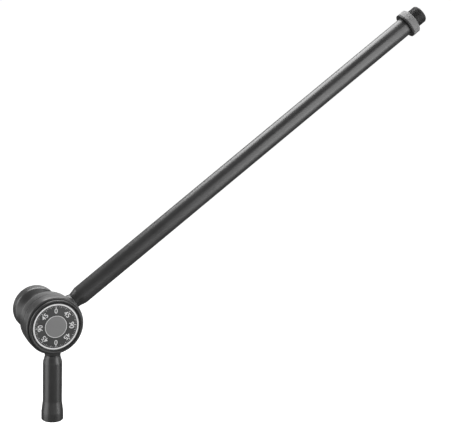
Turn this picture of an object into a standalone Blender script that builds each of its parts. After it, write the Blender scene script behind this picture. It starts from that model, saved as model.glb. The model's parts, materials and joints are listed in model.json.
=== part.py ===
"""Mini boom arm for a microphone stand, as separate pieces in one frame.

The stem screws onto a stand at the origin and rises along +Z to a clutch whose
axis lies along Y. The front half of the clutch carries the stem. The rear half
turns on the clutch bolt and carries the arm, which ends in a threaded stud and
a knurled lock ring. A knob behind the clutch clamps the two halves together.

Lengths are in metres. A depth is a distance along +Y behind the dial's face,
and a reach is a distance from the clutch axis, along the stem or the arm.
"""

import math

import bmesh
import bpy
from mathutils import Matrix, Vector

# Clearances
REST_GAP = 0.0003
SEAM = 0.0006

# The microphone-stand thread at both ends, 5/8 inch with 27 turns an inch
THREAD_OD = 0.015875
THREAD_PITCH = 0.0254 / 27
NUT_DEPTH_IN_PITCHES = 1.0825

# Tubes, both the same stock with a swaged neck
TUBE_OD = 0.015875
TUBE_WALL = 0.0012
NECK_OD = 0.0131
NECK_LENGTH = 0.0014
SWAGE_LENGTH = 0.0052

# Stem
STEM_HEIGHT = 0.0835
SOCKET_WALL = 0.00116
SOCKET_DEPTH = 0.0130
SOCKET_LENGTH = 0.0071
SOCKET_EDGE = 0.0009
SOCKET_RUNOUT = 0.0015
FLARE_LENGTH = 0.0097

# Arm
ARM_REST_ANGLE = math.radians(35.7)
ARM_TUBE_LENGTH = 0.3704

# Stud and lock ring
STUD_EXPOSED = 0.0177
STUD_CHAMFER = 0.0014
STUD_FLANGE_OD = 0.0223
STUD_FLANGE_THICK = 0.0006
STUD_PLUG_LENGTH = 0.0240
RING_OD = 0.0223
RING_THICK = 0.0069
RING_CHAMFER = 0.0007

# Dial and front cap, which set the size of the drum round them
DIAL_OD = 0.0402
DIAL_THICK = 0.0005
MOAT_WIDTH = 0.0007
MOAT_DEPTH = 0.0004
BEAD_WIDTH = 0.0017
BEAD_RISE = 0.0010
BEAD_ROUND = 0.0008
CAP_THICK = 0.0019

# Clutch castings
LIP_WIDTH = 0.0015
LIP_DEPTH = 0.0015
FRONT_WEB = 0.0031
REAR_THICK = 0.0130
DRUM_FRONT_EDGE = 0.0013
DRUM_REAR_EDGE = 0.0040
DRUM_TAPER = 0.0013
DRUM_TAPER_LEAD = 0.0020
STEM_OFFSET = 0.0040
ARM_OFFSET = 0.0042
SPIGOT_LENGTH = 0.0100
SPIGOT_CHAMFER = 0.0008
BOSS_MARGIN = 0.0002
BOSS_RISE = 0.0013
BOSS_PROUD = 0.0001
ROOT_MARGIN = 0.0002

# Bolt and its backing washer
BOLT_OD = 0.0080
BOLT_CHAMFER = 0.0009
BOLT_SHORTFALL = 0.0022
HEAD_FLATS = 0.0130
HEAD_THICK = 0.0040
BACKING_THICK = 0.0010

# Friction discs between the halves
FRICTION_WIDTH = 0.0097
FRICTION_THICK = 0.0014
FRICTION_PROUD = 0.00015
GROOVE_WALL = 0.0023

# Separating spring round the bolt
SPRING_WIRE = 0.0009
SPRING_CLEARANCE = 0.00075
SPRING_PITCH = 0.00143
SPRING_TURNS = 3.5
SPRING_POINTS_PER_TURN = 10

# Sleeve and the washers behind the rear half
SLEEVE_WALL = 0.0017
SLEEVE_FLANGE_WIDTH = 0.0048
SLEEVE_FLANGE_THICK = 0.0012
STACK_POCKET_DEPTH = 0.0025
NYLON_THICK = 0.0010
THRUST_THICK = 0.0012
DISC_SPRING_MARGIN = 0.0010
DISC_SPRING_THICK = 0.0007
DISC_SPRING_RISE = 0.0006

# Knob
KNOB_WALL = 0.0018
KNOB_SKIRT_EDGE = 0.0005
KNOB_NECK_LENGTH = 0.0144
KNOB_FLARE_LENGTH = 0.0065
KNOB_FLARE_ROUND = 0.0110
KNOB_RIM_OD = 0.0384
KNOB_RIM_LENGTH = 0.0098
KNOB_RIM_ROUND = 0.0026
KNOB_RIM_LAND = 0.0056
KNOB_DISH_DEPTH = 0.0012
KNOB_CAP_THICK = 0.0016
INSERT_WALL = 0.0027
INSERT_FLANGE_WIDTH = 0.0025
INSERT_FLANGE_THICK = 0.0015
INSERT_LENGTH = 0.0155

# Facets
ROUND_STEPS = 40
TUBE_STEPS = 28
HIDDEN_STEPS = 24
FILLET_STEPS = 3
SHARED_SIDE = 0.49
WHOLE_SIDE = 0.98
SHADE_ANGLE = math.radians(35.0)
WELD = 1e-7

# Finishes: base colour, roughness, metallic
BLACK_COAT = ((0.035, 0.036, 0.038), 0.45, 0.0)
BLACK_CAST = ((0.030, 0.031, 0.033), 0.40, 0.0)
BLACK_PLASTIC = ((0.025, 0.025, 0.027), 0.35, 0.0)
GREY_DIAL = ((0.160, 0.165, 0.170), 0.45, 0.0)
BRIGHT_ZINC = ((0.420, 0.430, 0.440), 0.38, 1.0)
BLACK_OXIDE = ((0.045, 0.046, 0.048), 0.38, 1.0)
PLAIN_STEEL = ((0.480, 0.485, 0.490), 0.35, 1.0)
SPRING_STEEL = ((0.300, 0.305, 0.310), 0.30, 1.0)
BRASS = ((0.620, 0.470, 0.210), 0.35, 1.0)
FIBRE = ((0.160, 0.110, 0.075), 0.85, 0.0)
NYLON = ((0.620, 0.610, 0.570), 0.50, 0.0)

# Each turning axis with the direction its outline is drawn in
AXIS_X = (Vector((1.0, 0.0, 0.0)), Vector((0.0, 0.0, 1.0)))
AXIS_Y = (Vector((0.0, 1.0, 0.0)), Vector((1.0, 0.0, 0.0)))
AXIS_Z = (Vector((0.0, 0.0, 1.0)), Vector((1.0, 0.0, 0.0)))

# Radii of the tubes, the threads and the bolt
TUBE_R = TUBE_OD / 2
BORE_R = TUBE_R - TUBE_WALL
NECK_R = NECK_OD / 2
NECK_BORE_R = NECK_R - TUBE_WALL
SPIGOT_R = NECK_BORE_R - REST_GAP
STUD_R = THREAD_OD / 2
SOCKET_R = STUD_R + SOCKET_WALL
SOCKET_BORE_R = STUD_R - THREAD_PITCH * NUT_DEPTH_IN_PITCHES / 2
BOLT_R = BOLT_OD / 2
BOLT_HOLE_R = BOLT_R + REST_GAP

# Radii of the clutch, from the dial outwards
DIAL_R = DIAL_OD / 2
DIAL_WALL_R = DIAL_R + REST_GAP
BEAD_INNER_R = DIAL_WALL_R + MOAT_WIDTH
CAP_R = BEAD_INNER_R + BEAD_WIDTH
RECESS_R = CAP_R + REST_GAP
DRUM_R = RECESS_R + LIP_WIDTH
DRUM_REAR_R = DRUM_R - DRUM_TAPER
GROOVE_OUTER_R = DRUM_R - GROOVE_WALL
FRICTION_OUTER_R = GROOVE_OUTER_R - REST_GAP
FRICTION_INNER_R = FRICTION_OUTER_R - FRICTION_WIDTH
GROOVE_INNER_R = FRICTION_INNER_R - REST_GAP

# Reaches of the two bosses and of the tubes that butt on them
BOSS_R = NECK_R + BOSS_MARGIN
BOSS_REACH = DRUM_R + BOSS_RISE
TUBE_REACH = BOSS_REACH + REST_GAP
SWEPT_R = DRUM_R + REST_GAP

# Depths of the pieces in the front half, from the dial inwards
DIAL_SEAT = DIAL_THICK + REST_GAP
CAP_BACK = DIAL_SEAT + CAP_THICK
RECESS_FLOOR = CAP_BACK + REST_GAP
HEAD_FRONT = RECESS_FLOOR
HEAD_BACK = HEAD_FRONT + HEAD_THICK
BACKING_FRONT = HEAD_BACK + REST_GAP
BACKING_BACK = BACKING_FRONT + BACKING_THICK
POCKET_FLOOR = BACKING_BACK + REST_GAP

# Depths of the two halves' faces and of the friction discs at the seam
FRONT_FACE = POCKET_FLOOR + FRONT_WEB
REAR_FACE = FRONT_FACE + SEAM
PARTING_DEPTH = (FRONT_FACE + REAR_FACE) / 2
FRONT_DISC_BACK = PARTING_DEPTH - FRICTION_PROUD
FRONT_DISC_FRONT = FRONT_DISC_BACK - FRICTION_THICK
REAR_DISC_FRONT = PARTING_DEPTH + FRICTION_PROUD
REAR_DISC_BACK = REAR_DISC_FRONT + FRICTION_THICK
STEM_DEPTH = PARTING_DEPTH - STEM_OFFSET
ARM_DEPTH = PARTING_DEPTH + ARM_OFFSET
DRUM_TAPER_START = PARTING_DEPTH - DRUM_TAPER_LEAD
DRUM_DEPTH = PARTING_DEPTH + REAR_THICK

# Sleeve and spring, which share the space round the bolt
SLEEVE_R = BOLT_HOLE_R + SLEEVE_WALL
SLEEVE_BORE_R = SLEEVE_R + REST_GAP
STACK_R = SLEEVE_R + SLEEVE_FLANGE_WIDTH
STACK_POCKET_R = STACK_R + REST_GAP
SPRING_R = BOLT_R + SPRING_CLEARANCE + SPRING_WIRE / 2
SPRING_FRONT = FRONT_FACE + REST_GAP
SPRING_BACK = SPRING_FRONT + SPRING_PITCH * SPRING_TURNS + SPRING_WIRE
SLEEVE_FRONT = SPRING_BACK + REST_GAP

# Depths of the stack behind the rear half, from its pocket to the knob
POCKET_LEVEL = DRUM_DEPTH - STACK_POCKET_DEPTH
NYLON_FRONT = POCKET_LEVEL + REST_GAP
NYLON_BACK = NYLON_FRONT + NYLON_THICK
SLEEVE_FLANGE_FRONT = NYLON_BACK + REST_GAP
SLEEVE_BACK = SLEEVE_FLANGE_FRONT + SLEEVE_FLANGE_THICK
THRUST_FRONT = SLEEVE_BACK + REST_GAP
THRUST_BACK = THRUST_FRONT + THRUST_THICK
DISC_SPRING_FRONT = THRUST_BACK + REST_GAP
DISC_SPRING_BACK = DISC_SPRING_FRONT + DISC_SPRING_THICK + DISC_SPRING_RISE
INSERT_FRONT = DISC_SPRING_BACK + REST_GAP
INSERT_FLANGE_BACK = INSERT_FRONT + INSERT_FLANGE_THICK
INSERT_BACK = INSERT_FRONT + INSERT_LENGTH
BOLT_END = INSERT_BACK - BOLT_SHORTFALL

# Knob's radii and depths
INSERT_R = BOLT_HOLE_R + INSERT_WALL
INSERT_FLANGE_R = INSERT_R + INSERT_FLANGE_WIDTH
KNOB_WAIST_R = STACK_POCKET_R + KNOB_WALL
KNOB_RIM_R = KNOB_RIM_OD / 2
KNOB_DISH_R = KNOB_RIM_R - KNOB_RIM_LAND
SKIRT_FRONT = DRUM_DEPTH + SEAM
KNOB_NECK_BACK = SKIRT_FRONT + KNOB_NECK_LENGTH
KNOB_RIM_FRONT = KNOB_NECK_BACK + KNOB_FLARE_LENGTH
KNOB_BACK = KNOB_RIM_FRONT + KNOB_RIM_LENGTH
KNOB_CAP_BACK = KNOB_BACK - KNOB_DISH_DEPTH
KNOB_CAP_FRONT = KNOB_CAP_BACK - KNOB_CAP_THICK
KNOB_CAP_SEAT = KNOB_CAP_FRONT - REST_GAP

# Arm stations
ARM_TUBE_END = TUBE_REACH + ARM_TUBE_LENGTH
FLANGE_REACH = ARM_TUBE_END + REST_GAP
FLANGE_END = FLANGE_REACH + STUD_FLANGE_THICK
RING_REACH = FLANGE_END + REST_GAP
STUD_END = FLANGE_END + STUD_EXPOSED


def clear_scene():
    """Remove every object of the open file."""
    for item in list(bpy.data.objects):
        bpy.data.objects.remove(item, do_unlink=True)


def add_finish(name, finish):
    """Make one piece's own material from a finish."""
    colour, roughness, metallic = finish
    material = bpy.data.materials.new(name)
    material.use_nodes = True
    shader = material.node_tree.nodes["Principled BSDF"]
    shader.inputs["Base Color"].default_value = (*colour, 1.0)
    shader.inputs["Roughness"].default_value = roughness
    shader.inputs["Metallic"].default_value = metallic
    material.diffuse_color = (*colour, 1.0)
    return material


def add_frame(name, location, rotation):
    """Add an empty that carries the pieces of one moving group."""
    frame = bpy.data.objects.new(name, None)
    frame.location = location
    frame.rotation_euler = rotation
    bpy.context.collection.objects.link(frame)
    return frame


def add_piece(name, data, finish, parent, location=(0.0, 0.0, 0.0)):
    """Link one named piece with its own material."""
    piece = bpy.data.objects.new(name, data)
    if finish is not None:
        data.materials.append(add_finish(name + "_finish", finish))
    piece.parent = parent
    piece.location = location
    bpy.context.collection.objects.link(piece)
    return piece


def corner_arc(before, corner, after, radius, room):
    """Return the points of a fillet that replaces one corner."""
    to_before = before - corner
    to_after = after - corner
    half_angle = to_before.angle(to_after) / 2
    reach = min(radius / math.tan(half_angle), room)
    start = corner + to_before.normalized() * reach
    end = corner + to_after.normalized() * reach
    bisector = (to_before.normalized() + to_after.normalized()).normalized()
    centre = corner + bisector * (reach / math.cos(half_angle))
    sweep = (start - centre).angle_signed(end - centre)
    points = []
    for step in range(FILLET_STEPS + 1):
        turn = Matrix.Rotation(-sweep * step / FILLET_STEPS, 2)
        points.append(centre + turn @ (start - centre))
    return points


def side_room(here, other, corner):
    """Return how far a fillet may reach along a side towards another corner."""
    share = SHARED_SIDE if corner[2] > 0.0 else WHOLE_SIDE
    return (other - here).length * share


def outline_points(corners, closed):
    """Turn corners of (radius, level, fillet) into the points of an outline."""
    points = []
    last = len(corners) - 1
    for index, (radius, level, fillet) in enumerate(corners):
        here = Vector((radius, level))
        on_end = not closed and index in (0, last)
        if fillet == 0.0 or on_end:
            points.append(here)
            continue
        previous = corners[index - 1]
        following = corners[(index + 1) % len(corners)]
        before = Vector(previous[:2])
        after = Vector(following[:2])
        room = min(side_room(here, before, previous), side_room(here, after, following))
        points.extend(corner_arc(before, here, after, fillet, room))
    return points


def turned_mesh(name, corners, axis, closed, steps=ROUND_STEPS):
    """Spin an outline of (radius, level, fillet) corners round an axis."""
    along, across = axis
    shape = bmesh.new()
    verts = []
    for point in outline_points(corners, closed):
        verts.append(shape.verts.new(across * point.x + along * point.y))
    for first, second in zip(verts, verts[1:]):
        shape.edges.new((first, second))
    if closed:
        shape.edges.new((verts[-1], verts[0]))
    bmesh.ops.spin(
        shape,
        geom=shape.verts[:] + shape.edges[:],
        cent=(0.0, 0.0, 0.0),
        axis=along,
        angle=math.tau,
        steps=steps,
        use_merge=True,
    )
    bmesh.ops.remove_doubles(shape, verts=shape.verts[:], dist=WELD)
    bmesh.ops.recalc_face_normals(shape, faces=shape.faces[:])
    mesh = bpy.data.meshes.new(name)
    shape.to_mesh(mesh)
    shape.free()
    mesh.shade_smooth()
    mesh.set_sharp_from_angle(angle=SHADE_ANGLE)
    return mesh


def washer_corners(inner, outer, front, back, edge=0.0):
    """Return the corners of a flat ring."""
    return [
        (inner, front, 0.0),
        (outer, front, edge),
        (outer, back, edge),
        (inner, back, 0.0),
    ]


def hexagon_mesh(name, flats, front, back):
    """Make a hexagonal prism along Y with the given distance across flats."""
    shape = bmesh.new()
    corner_r = flats / 2 / math.cos(math.pi / 6)
    ring = []
    for step in range(6):
        angle = math.tau * step / 6
        spot = Vector((math.cos(angle) * corner_r, front, math.sin(angle) * corner_r))
        ring.append(shape.verts.new(spot))
    face = shape.faces.new(ring)
    grown = bmesh.ops.extrude_face_region(shape, geom=[face])
    moved = [item for item in grown["geom"] if isinstance(item, bmesh.types.BMVert)]
    bmesh.ops.translate(shape, verts=moved, vec=(0.0, back - front, 0.0))
    bmesh.ops.recalc_face_normals(shape, faces=shape.faces[:])
    mesh = bpy.data.meshes.new(name)
    shape.to_mesh(mesh)
    shape.free()
    return mesh


def apply_shape(piece, operation, name, mesh, location=(0.0, 0.0, 0.0)):
    """Add or cut a shape, given in the piece's own frame, with a Boolean."""
    tool = add_piece(name, mesh, None, piece, location)
    tool.hide_render = True
    tool.display_type = "WIRE"
    boolean = piece.modifiers.new(name, "BOOLEAN")
    boolean.operation = operation
    boolean.solver = "EXACT"
    boolean.object = tool


def neck_corners(start, end):
    """Return a swaged tube's corners, from its neck outwards, round its bore."""
    neck_end = start + NECK_LENGTH
    full = neck_end + SWAGE_LENGTH
    return [
        (NECK_BORE_R, start, 0.0),
        (NECK_R, start, 0.0),
        (NECK_R, neck_end, SWAGE_LENGTH / 2),
        (TUBE_R, full, SWAGE_LENGTH / 2),
        (TUBE_R, end, 0.0),
        (BORE_R, end, 0.0),
        (BORE_R, full, 0.0),
        (NECK_BORE_R, neck_end, 0.0),
    ]


def build_stem_tube():
    """Steel tube with a swaged neck above and a threaded, flared mouth below."""
    neck_top = STEM_HEIGHT - TUBE_REACH
    neck_low = neck_top - NECK_LENGTH
    shoulder = neck_low - SWAGE_LENGTH
    flare_top = SOCKET_LENGTH + FLARE_LENGTH
    runout_top = SOCKET_DEPTH + SOCKET_RUNOUT
    corners = [
        (SOCKET_BORE_R, 0.0, 0.0),
        (SOCKET_R, 0.0, SOCKET_EDGE),
        (SOCKET_R, SOCKET_LENGTH, FLARE_LENGTH / 2),
        (TUBE_R, flare_top, FLARE_LENGTH / 2),
        (TUBE_R, shoulder, SWAGE_LENGTH / 2),
        (NECK_R, neck_low, SWAGE_LENGTH / 2),
        (NECK_R, neck_top, 0.0),
        (NECK_BORE_R, neck_top, 0.0),
        (NECK_BORE_R, neck_low, 0.0),
        (BORE_R, shoulder, 0.0),
        (BORE_R, runout_top, 0.0),
        (SOCKET_BORE_R, SOCKET_DEPTH, 0.0),
    ]
    mesh = turned_mesh("stem_tube", corners, AXIS_Z, True, TUBE_STEPS)
    add_piece("stem_tube", mesh, BLACK_COAT, None)


def drum_radius(depth):
    """Return the radius of the drum's tapered side at a depth."""
    run = (depth - DRUM_TAPER_START) / (DRUM_DEPTH - DRUM_TAPER_START)
    return DRUM_R + (DRUM_REAR_R - DRUM_R) * run


def boss_corners(root):
    """Return the boss that a tube butts on, with the spigot inside the tube."""
    spigot_end = TUBE_REACH + SPIGOT_LENGTH
    return [
        (0.0, root, 0.0),
        (BOSS_R, root, 0.0),
        (BOSS_R, BOSS_REACH, BOSS_RISE / 4),
        (SPIGOT_R, BOSS_REACH, 0.0),
        (SPIGOT_R, spigot_end - SPIGOT_CHAMFER, 0.0),
        (SPIGOT_R - SPIGOT_CHAMFER, spigot_end, 0.0),
        (0.0, spigot_end, 0.0),
    ]


def add_boss(piece, name, direction, depth, root):
    """Join a tube's boss and spigot to a casting, pointing in a direction."""
    axis = (direction, Vector((0.0, 1.0, 0.0)))
    mesh = turned_mesh(name, boss_corners(root), axis, False, TUBE_STEPS)
    apply_shape(piece, "UNION", name, mesh, (0.0, depth, 0.0))


def build_front_casting(frame):
    """Front half: cap recess, hexagonal pocket, friction groove, stem boss."""
    groove_floor = FRONT_DISC_FRONT - REST_GAP
    corners = [
        (BOLT_HOLE_R, RECESS_FLOOR, 0.0),
        (RECESS_R, RECESS_FLOOR, 0.0),
        (RECESS_R, LIP_DEPTH, 0.0),
        (DRUM_R, LIP_DEPTH, DRUM_FRONT_EDGE),
        (DRUM_R, DRUM_TAPER_START, 0.0),
        (drum_radius(FRONT_FACE), FRONT_FACE, 0.0),
        (GROOVE_OUTER_R, FRONT_FACE, 0.0),
        (GROOVE_OUTER_R, groove_floor, 0.0),
        (GROOVE_INNER_R, groove_floor, 0.0),
        (GROOVE_INNER_R, FRONT_FACE, 0.0),
        (BOLT_HOLE_R, FRONT_FACE, 0.0),
    ]
    mesh = turned_mesh("front_casting", corners, AXIS_Y, True)
    casting = add_piece("front_casting", mesh, BLACK_CAST, frame)
    down = Vector((0.0, 0.0, -1.0))
    add_boss(casting, "stem_boss", down, STEM_DEPTH, RECESS_R + ROOT_MARGIN)
    sweep = washer_corners(0.0, SWEPT_R, FRONT_FACE + BOSS_PROUD, DRUM_DEPTH)
    sweep_mesh = turned_mesh("rear_half_sweep", sweep, AXIS_Y, False)
    apply_shape(casting, "DIFFERENCE", "rear_half_sweep", sweep_mesh)
    flats = HEAD_FLATS + 2 * REST_GAP
    pocket_mesh = hexagon_mesh("head_pocket", flats, -POCKET_FLOOR, POCKET_FLOOR)
    apply_shape(casting, "DIFFERENCE", "head_pocket", pocket_mesh)


def build_front_cap(frame):
    """Cap pressed into the front half, with a rounded bead round the dial."""
    corners = [
        (0.0, DIAL_SEAT, 0.0),
        (DIAL_WALL_R, DIAL_SEAT, 0.0),
        (DIAL_WALL_R, MOAT_DEPTH, 0.0),
        (BEAD_INNER_R, MOAT_DEPTH, 0.0),
        (BEAD_INNER_R, -BEAD_RISE, BEAD_ROUND),
        (CAP_R, -BEAD_RISE, BEAD_ROUND),
        (CAP_R, CAP_BACK, 0.0),
        (0.0, CAP_BACK, 0.0),
    ]
    mesh = turned_mesh("front_cap", corners, AXIS_Y, False)
    add_piece("front_cap", mesh, BLACK_PLASTIC, frame)


def build_dial_label(frame):
    """Thin printed disc let into the cap."""
    corners = [
        (0.0, 0.0, 0.0),
        (DIAL_R, 0.0, 0.0),
        (DIAL_R, DIAL_THICK, 0.0),
        (0.0, DIAL_THICK, 0.0),
    ]
    mesh = turned_mesh("dial_label", corners, AXIS_Y, False)
    add_piece("dial_label", mesh, GREY_DIAL, frame)


def build_clutch_bolt(frame):
    """Bolt whose hexagonal head sits in the front half's pocket."""
    corners = [
        (0.0, HEAD_BACK - HEAD_THICK / 2, 0.0),
        (BOLT_R, HEAD_BACK - HEAD_THICK / 2, 0.0),
        (BOLT_R, BOLT_END - BOLT_CHAMFER, 0.0),
        (BOLT_R - BOLT_CHAMFER, BOLT_END, 0.0),
        (0.0, BOLT_END, 0.0),
    ]
    mesh = turned_mesh("clutch_bolt", corners, AXIS_Y, False, HIDDEN_STEPS)
    bolt = add_piece("clutch_bolt", mesh, PLAIN_STEEL, frame)
    head_mesh = hexagon_mesh("bolt_head", HEAD_FLATS, HEAD_FRONT, HEAD_BACK)
    apply_shape(bolt, "UNION", "bolt_head", head_mesh)


def build_ring(name, frame, finish, inner, outer, front, back):
    """Make one flat ring on the clutch axis."""
    corners = washer_corners(inner, outer, front, back)
    mesh = turned_mesh(name, corners, AXIS_Y, True, HIDDEN_STEPS)
    add_piece(name, mesh, finish, frame)


def spring_route():
    """Return the points of the spring's wire, with a straight run at each end."""
    radius = SPRING_R
    start = SPRING_FRONT + SPRING_WIRE / 2
    count = round(SPRING_TURNS * SPRING_POINTS_PER_TURN)
    points = []
    for step in range(count + 1):
        angle = math.tau * step / SPRING_POINTS_PER_TURN
        depth = start + SPRING_PITCH * step / SPRING_POINTS_PER_TURN
        points.append(Vector((radius * math.cos(angle), depth, radius * math.sin(angle))))
    last_angle = math.tau * count / SPRING_POINTS_PER_TURN
    lead_in = Vector((0.0, 0.0, -SPRING_WIRE))
    lead_out = Vector((-math.sin(last_angle), 0.0, math.cos(last_angle))) * SPRING_WIRE
    points.insert(0, points[0] + lead_in)
    points.append(points[-1] + lead_out)
    return points


def least_self_gap(points, wire, skip):
    """Measure the least gap between turns of a wire, on its points."""
    least = math.inf
    for index, point in enumerate(points):
        for other in points[index + skip:]:
            least = min(least, (other - point).length - wire)
    return least


def build_separator_spring(frame):
    """Short coil spring that pushes the rear half off when the knob is loosened."""
    points = spring_route()
    gap = least_self_gap(points, SPRING_WIRE, SPRING_POINTS_PER_TURN // 2)
    print(f"separator_spring least gap between turns {gap * 1000:.3f} mm")
    curve = bpy.data.curves.new("separator_spring", "CURVE")
    curve.dimensions = "3D"
    curve.bevel_depth = SPRING_WIRE / 2
    curve.bevel_resolution = 1
    curve.use_fill_caps = True
    spline = curve.splines.new("POLY")
    spline.points.add(len(points) - 1)
    for spot, point in zip(spline.points, points):
        spot.co = (*point, 1.0)
    add_piece("separator_spring", curve, SPRING_STEEL, frame)


def build_pivot_sleeve(frame):
    """Flanged sleeve that slides on the bolt and carries the rear half."""
    corners = [
        (BOLT_HOLE_R, SLEEVE_FRONT, 0.0),
        (SLEEVE_R, SLEEVE_FRONT, 0.0),
        (SLEEVE_R, SLEEVE_FLANGE_FRONT, 0.0),
        (STACK_R, SLEEVE_FLANGE_FRONT, 0.0),
        (STACK_R, SLEEVE_BACK, 0.0),
        (BOLT_HOLE_R, SLEEVE_BACK, 0.0),
    ]
    mesh = turned_mesh("pivot_sleeve", corners, AXIS_Y, True, HIDDEN_STEPS)
    add_piece("pivot_sleeve", mesh, BRASS, frame)


def build_disc_spring(frame):
    """Conical spring washer between the thrust washer and the knob."""
    outer = STACK_R - DISC_SPRING_MARGIN
    rise = DISC_SPRING_RISE
    corners = [
        (BOLT_HOLE_R, DISC_SPRING_FRONT + rise, 0.0),
        (outer, DISC_SPRING_FRONT, 0.0),
        (outer, DISC_SPRING_FRONT + DISC_SPRING_THICK, 0.0),
        (BOLT_HOLE_R, DISC_SPRING_BACK, 0.0),
    ]
    mesh = turned_mesh("disc_spring", corners, AXIS_Y, True, HIDDEN_STEPS)
    add_piece("disc_spring", mesh, SPRING_STEEL, frame)


def build_rear_casting(frame):
    """Rear half: friction groove, sleeve bore, washer pocket, arm boss."""
    groove_floor = REAR_DISC_BACK + REST_GAP
    corners = [
        (SLEEVE_BORE_R, REAR_FACE, 0.0),
        (GROOVE_INNER_R, REAR_FACE, 0.0),
        (GROOVE_INNER_R, groove_floor, 0.0),
        (GROOVE_OUTER_R, groove_floor, 0.0),
        (GROOVE_OUTER_R, REAR_FACE, 0.0),
        (drum_radius(REAR_FACE), REAR_FACE, 0.0),
        (DRUM_REAR_R, DRUM_DEPTH, DRUM_REAR_EDGE),
        (STACK_POCKET_R, DRUM_DEPTH, 0.0),
        (STACK_POCKET_R, POCKET_LEVEL, 0.0),
        (SLEEVE_BORE_R, POCKET_LEVEL, 0.0),
    ]
    mesh = turned_mesh("rear_casting", corners, AXIS_Y, True)
    casting = add_piece("rear_casting", mesh, BLACK_CAST, frame)
    outward = Vector((1.0, 0.0, 0.0))
    add_boss(casting, "arm_boss", outward, ARM_DEPTH, GROOVE_OUTER_R + ROOT_MARGIN)
    sweep = washer_corners(0.0, SWEPT_R, -BEAD_RISE, REAR_FACE - BOSS_PROUD)
    sweep_mesh = turned_mesh("front_half_sweep", sweep, AXIS_Y, False)
    apply_shape(casting, "DIFFERENCE", "front_half_sweep", sweep_mesh)


def build_arm_tube(frame):
    """Long steel tube of the arm, swaged to the clutch at its near end."""
    corners = neck_corners(TUBE_REACH, ARM_TUBE_END)
    mesh = turned_mesh("arm_tube", corners, AXIS_X, True, TUBE_STEPS)
    add_piece("arm_tube", mesh, BLACK_COAT, frame, (0.0, ARM_DEPTH, 0.0))


def build_stud_plug(frame):
    """Plug in the arm's far end with a flange and the threaded stud."""
    plug_r = BORE_R - REST_GAP
    corners = [
        (0.0, FLANGE_REACH - STUD_PLUG_LENGTH, 0.0),
        (plug_r, FLANGE_REACH - STUD_PLUG_LENGTH, SPIGOT_CHAMFER),
        (plug_r, FLANGE_REACH, 0.0),
        (STUD_FLANGE_OD / 2, FLANGE_REACH, STUD_FLANGE_THICK / 4),
        (STUD_FLANGE_OD / 2, FLANGE_END, STUD_FLANGE_THICK / 4),
        (STUD_R, FLANGE_END, 0.0),
        (STUD_R, STUD_END, STUD_CHAMFER),
        (0.0, STUD_END, 0.0),
    ]
    mesh = turned_mesh("stud_plug", corners, AXIS_X, False, TUBE_STEPS)
    add_piece("stud_plug", mesh, BLACK_OXIDE, frame, (0.0, ARM_DEPTH, 0.0))


def build_lock_ring(frame):
    """Ring nut on the stud that locks a clip or a mount against the flange."""
    inner = STUD_R + REST_GAP
    corners = washer_corners(
        inner, RING_OD / 2, RING_REACH, RING_REACH + RING_THICK, RING_CHAMFER
    )
    mesh = turned_mesh("lock_ring", corners, AXIS_X, True)
    add_piece("lock_ring", mesh, BRIGHT_ZINC, frame, (0.0, ARM_DEPTH, 0.0))


def build_knob(frame):
    """Clamping knob with a waist, a rounded rim and a dished back."""
    bore_r = INSERT_R + REST_GAP
    flange_r = INSERT_FLANGE_R + REST_GAP
    seat = INSERT_FLANGE_BACK + REST_GAP
    corners = [
        (bore_r, seat, 0.0),
        (flange_r, seat, 0.0),
        (flange_r, INSERT_FRONT, 0.0),
        (STACK_POCKET_R, INSERT_FRONT, 0.0),
        (STACK_POCKET_R, SKIRT_FRONT, 0.0),
        (KNOB_WAIST_R, SKIRT_FRONT, KNOB_SKIRT_EDGE),
        (KNOB_WAIST_R, KNOB_NECK_BACK, KNOB_FLARE_ROUND),
        (KNOB_RIM_R, KNOB_RIM_FRONT, KNOB_RIM_ROUND),
        (KNOB_RIM_R, KNOB_BACK, KNOB_RIM_ROUND),
        (KNOB_DISH_R, KNOB_BACK, KNOB_DISH_DEPTH / 2),
        (KNOB_DISH_R, KNOB_CAP_SEAT, 0.0),
        (bore_r, KNOB_CAP_SEAT, 0.0),
    ]
    mesh = turned_mesh("knob", corners, AXIS_Y, True)
    add_piece("knob", mesh, BLACK_CAST, frame)


def build_knob_insert(frame):
    """Threaded brass insert of the knob, with a flange against the washers."""
    corners = [
        (BOLT_HOLE_R, INSERT_FRONT, 0.0),
        (INSERT_FLANGE_R, INSERT_FRONT, 0.0),
        (INSERT_FLANGE_R, INSERT_FLANGE_BACK, 0.0),
        (INSERT_R, INSERT_FLANGE_BACK, 0.0),
        (INSERT_R, INSERT_BACK, 0.0),
        (BOLT_HOLE_R, INSERT_BACK, 0.0),
    ]
    mesh = turned_mesh("knob_insert", corners, AXIS_Y, True, HIDDEN_STEPS)
    add_piece("knob_insert", mesh, BRASS, frame)


def build_knob_cap(frame):
    """Disc that closes the knob's bore, seated in its dished back."""
    radius = KNOB_DISH_R - REST_GAP
    corners = [
        (0.0, KNOB_CAP_FRONT, 0.0),
        (radius, KNOB_CAP_FRONT, 0.0),
        (radius, KNOB_CAP_BACK, KNOB_CAP_THICK / 4),
        (0.0, KNOB_CAP_BACK, 0.0),
    ]
    mesh = turned_mesh("knob_cap", corners, AXIS_Y, False)
    add_piece("knob_cap", mesh, BLACK_PLASTIC, frame)


def build_front_group(frame):
    """Build what stands still: the front half and what it carries."""
    build_front_casting(frame)
    build_front_cap(frame)
    build_dial_label(frame)
    build_clutch_bolt(frame)
    build_ring(
        "backing_washer", frame, PLAIN_STEEL,
        BOLT_HOLE_R, HEAD_FLATS / 2, BACKING_FRONT, BACKING_BACK,
    )
    build_ring(
        "front_friction_disc", frame, FIBRE,
        FRICTION_INNER_R, FRICTION_OUTER_R, FRONT_DISC_FRONT, FRONT_DISC_BACK,
    )
    build_separator_spring(frame)


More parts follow.
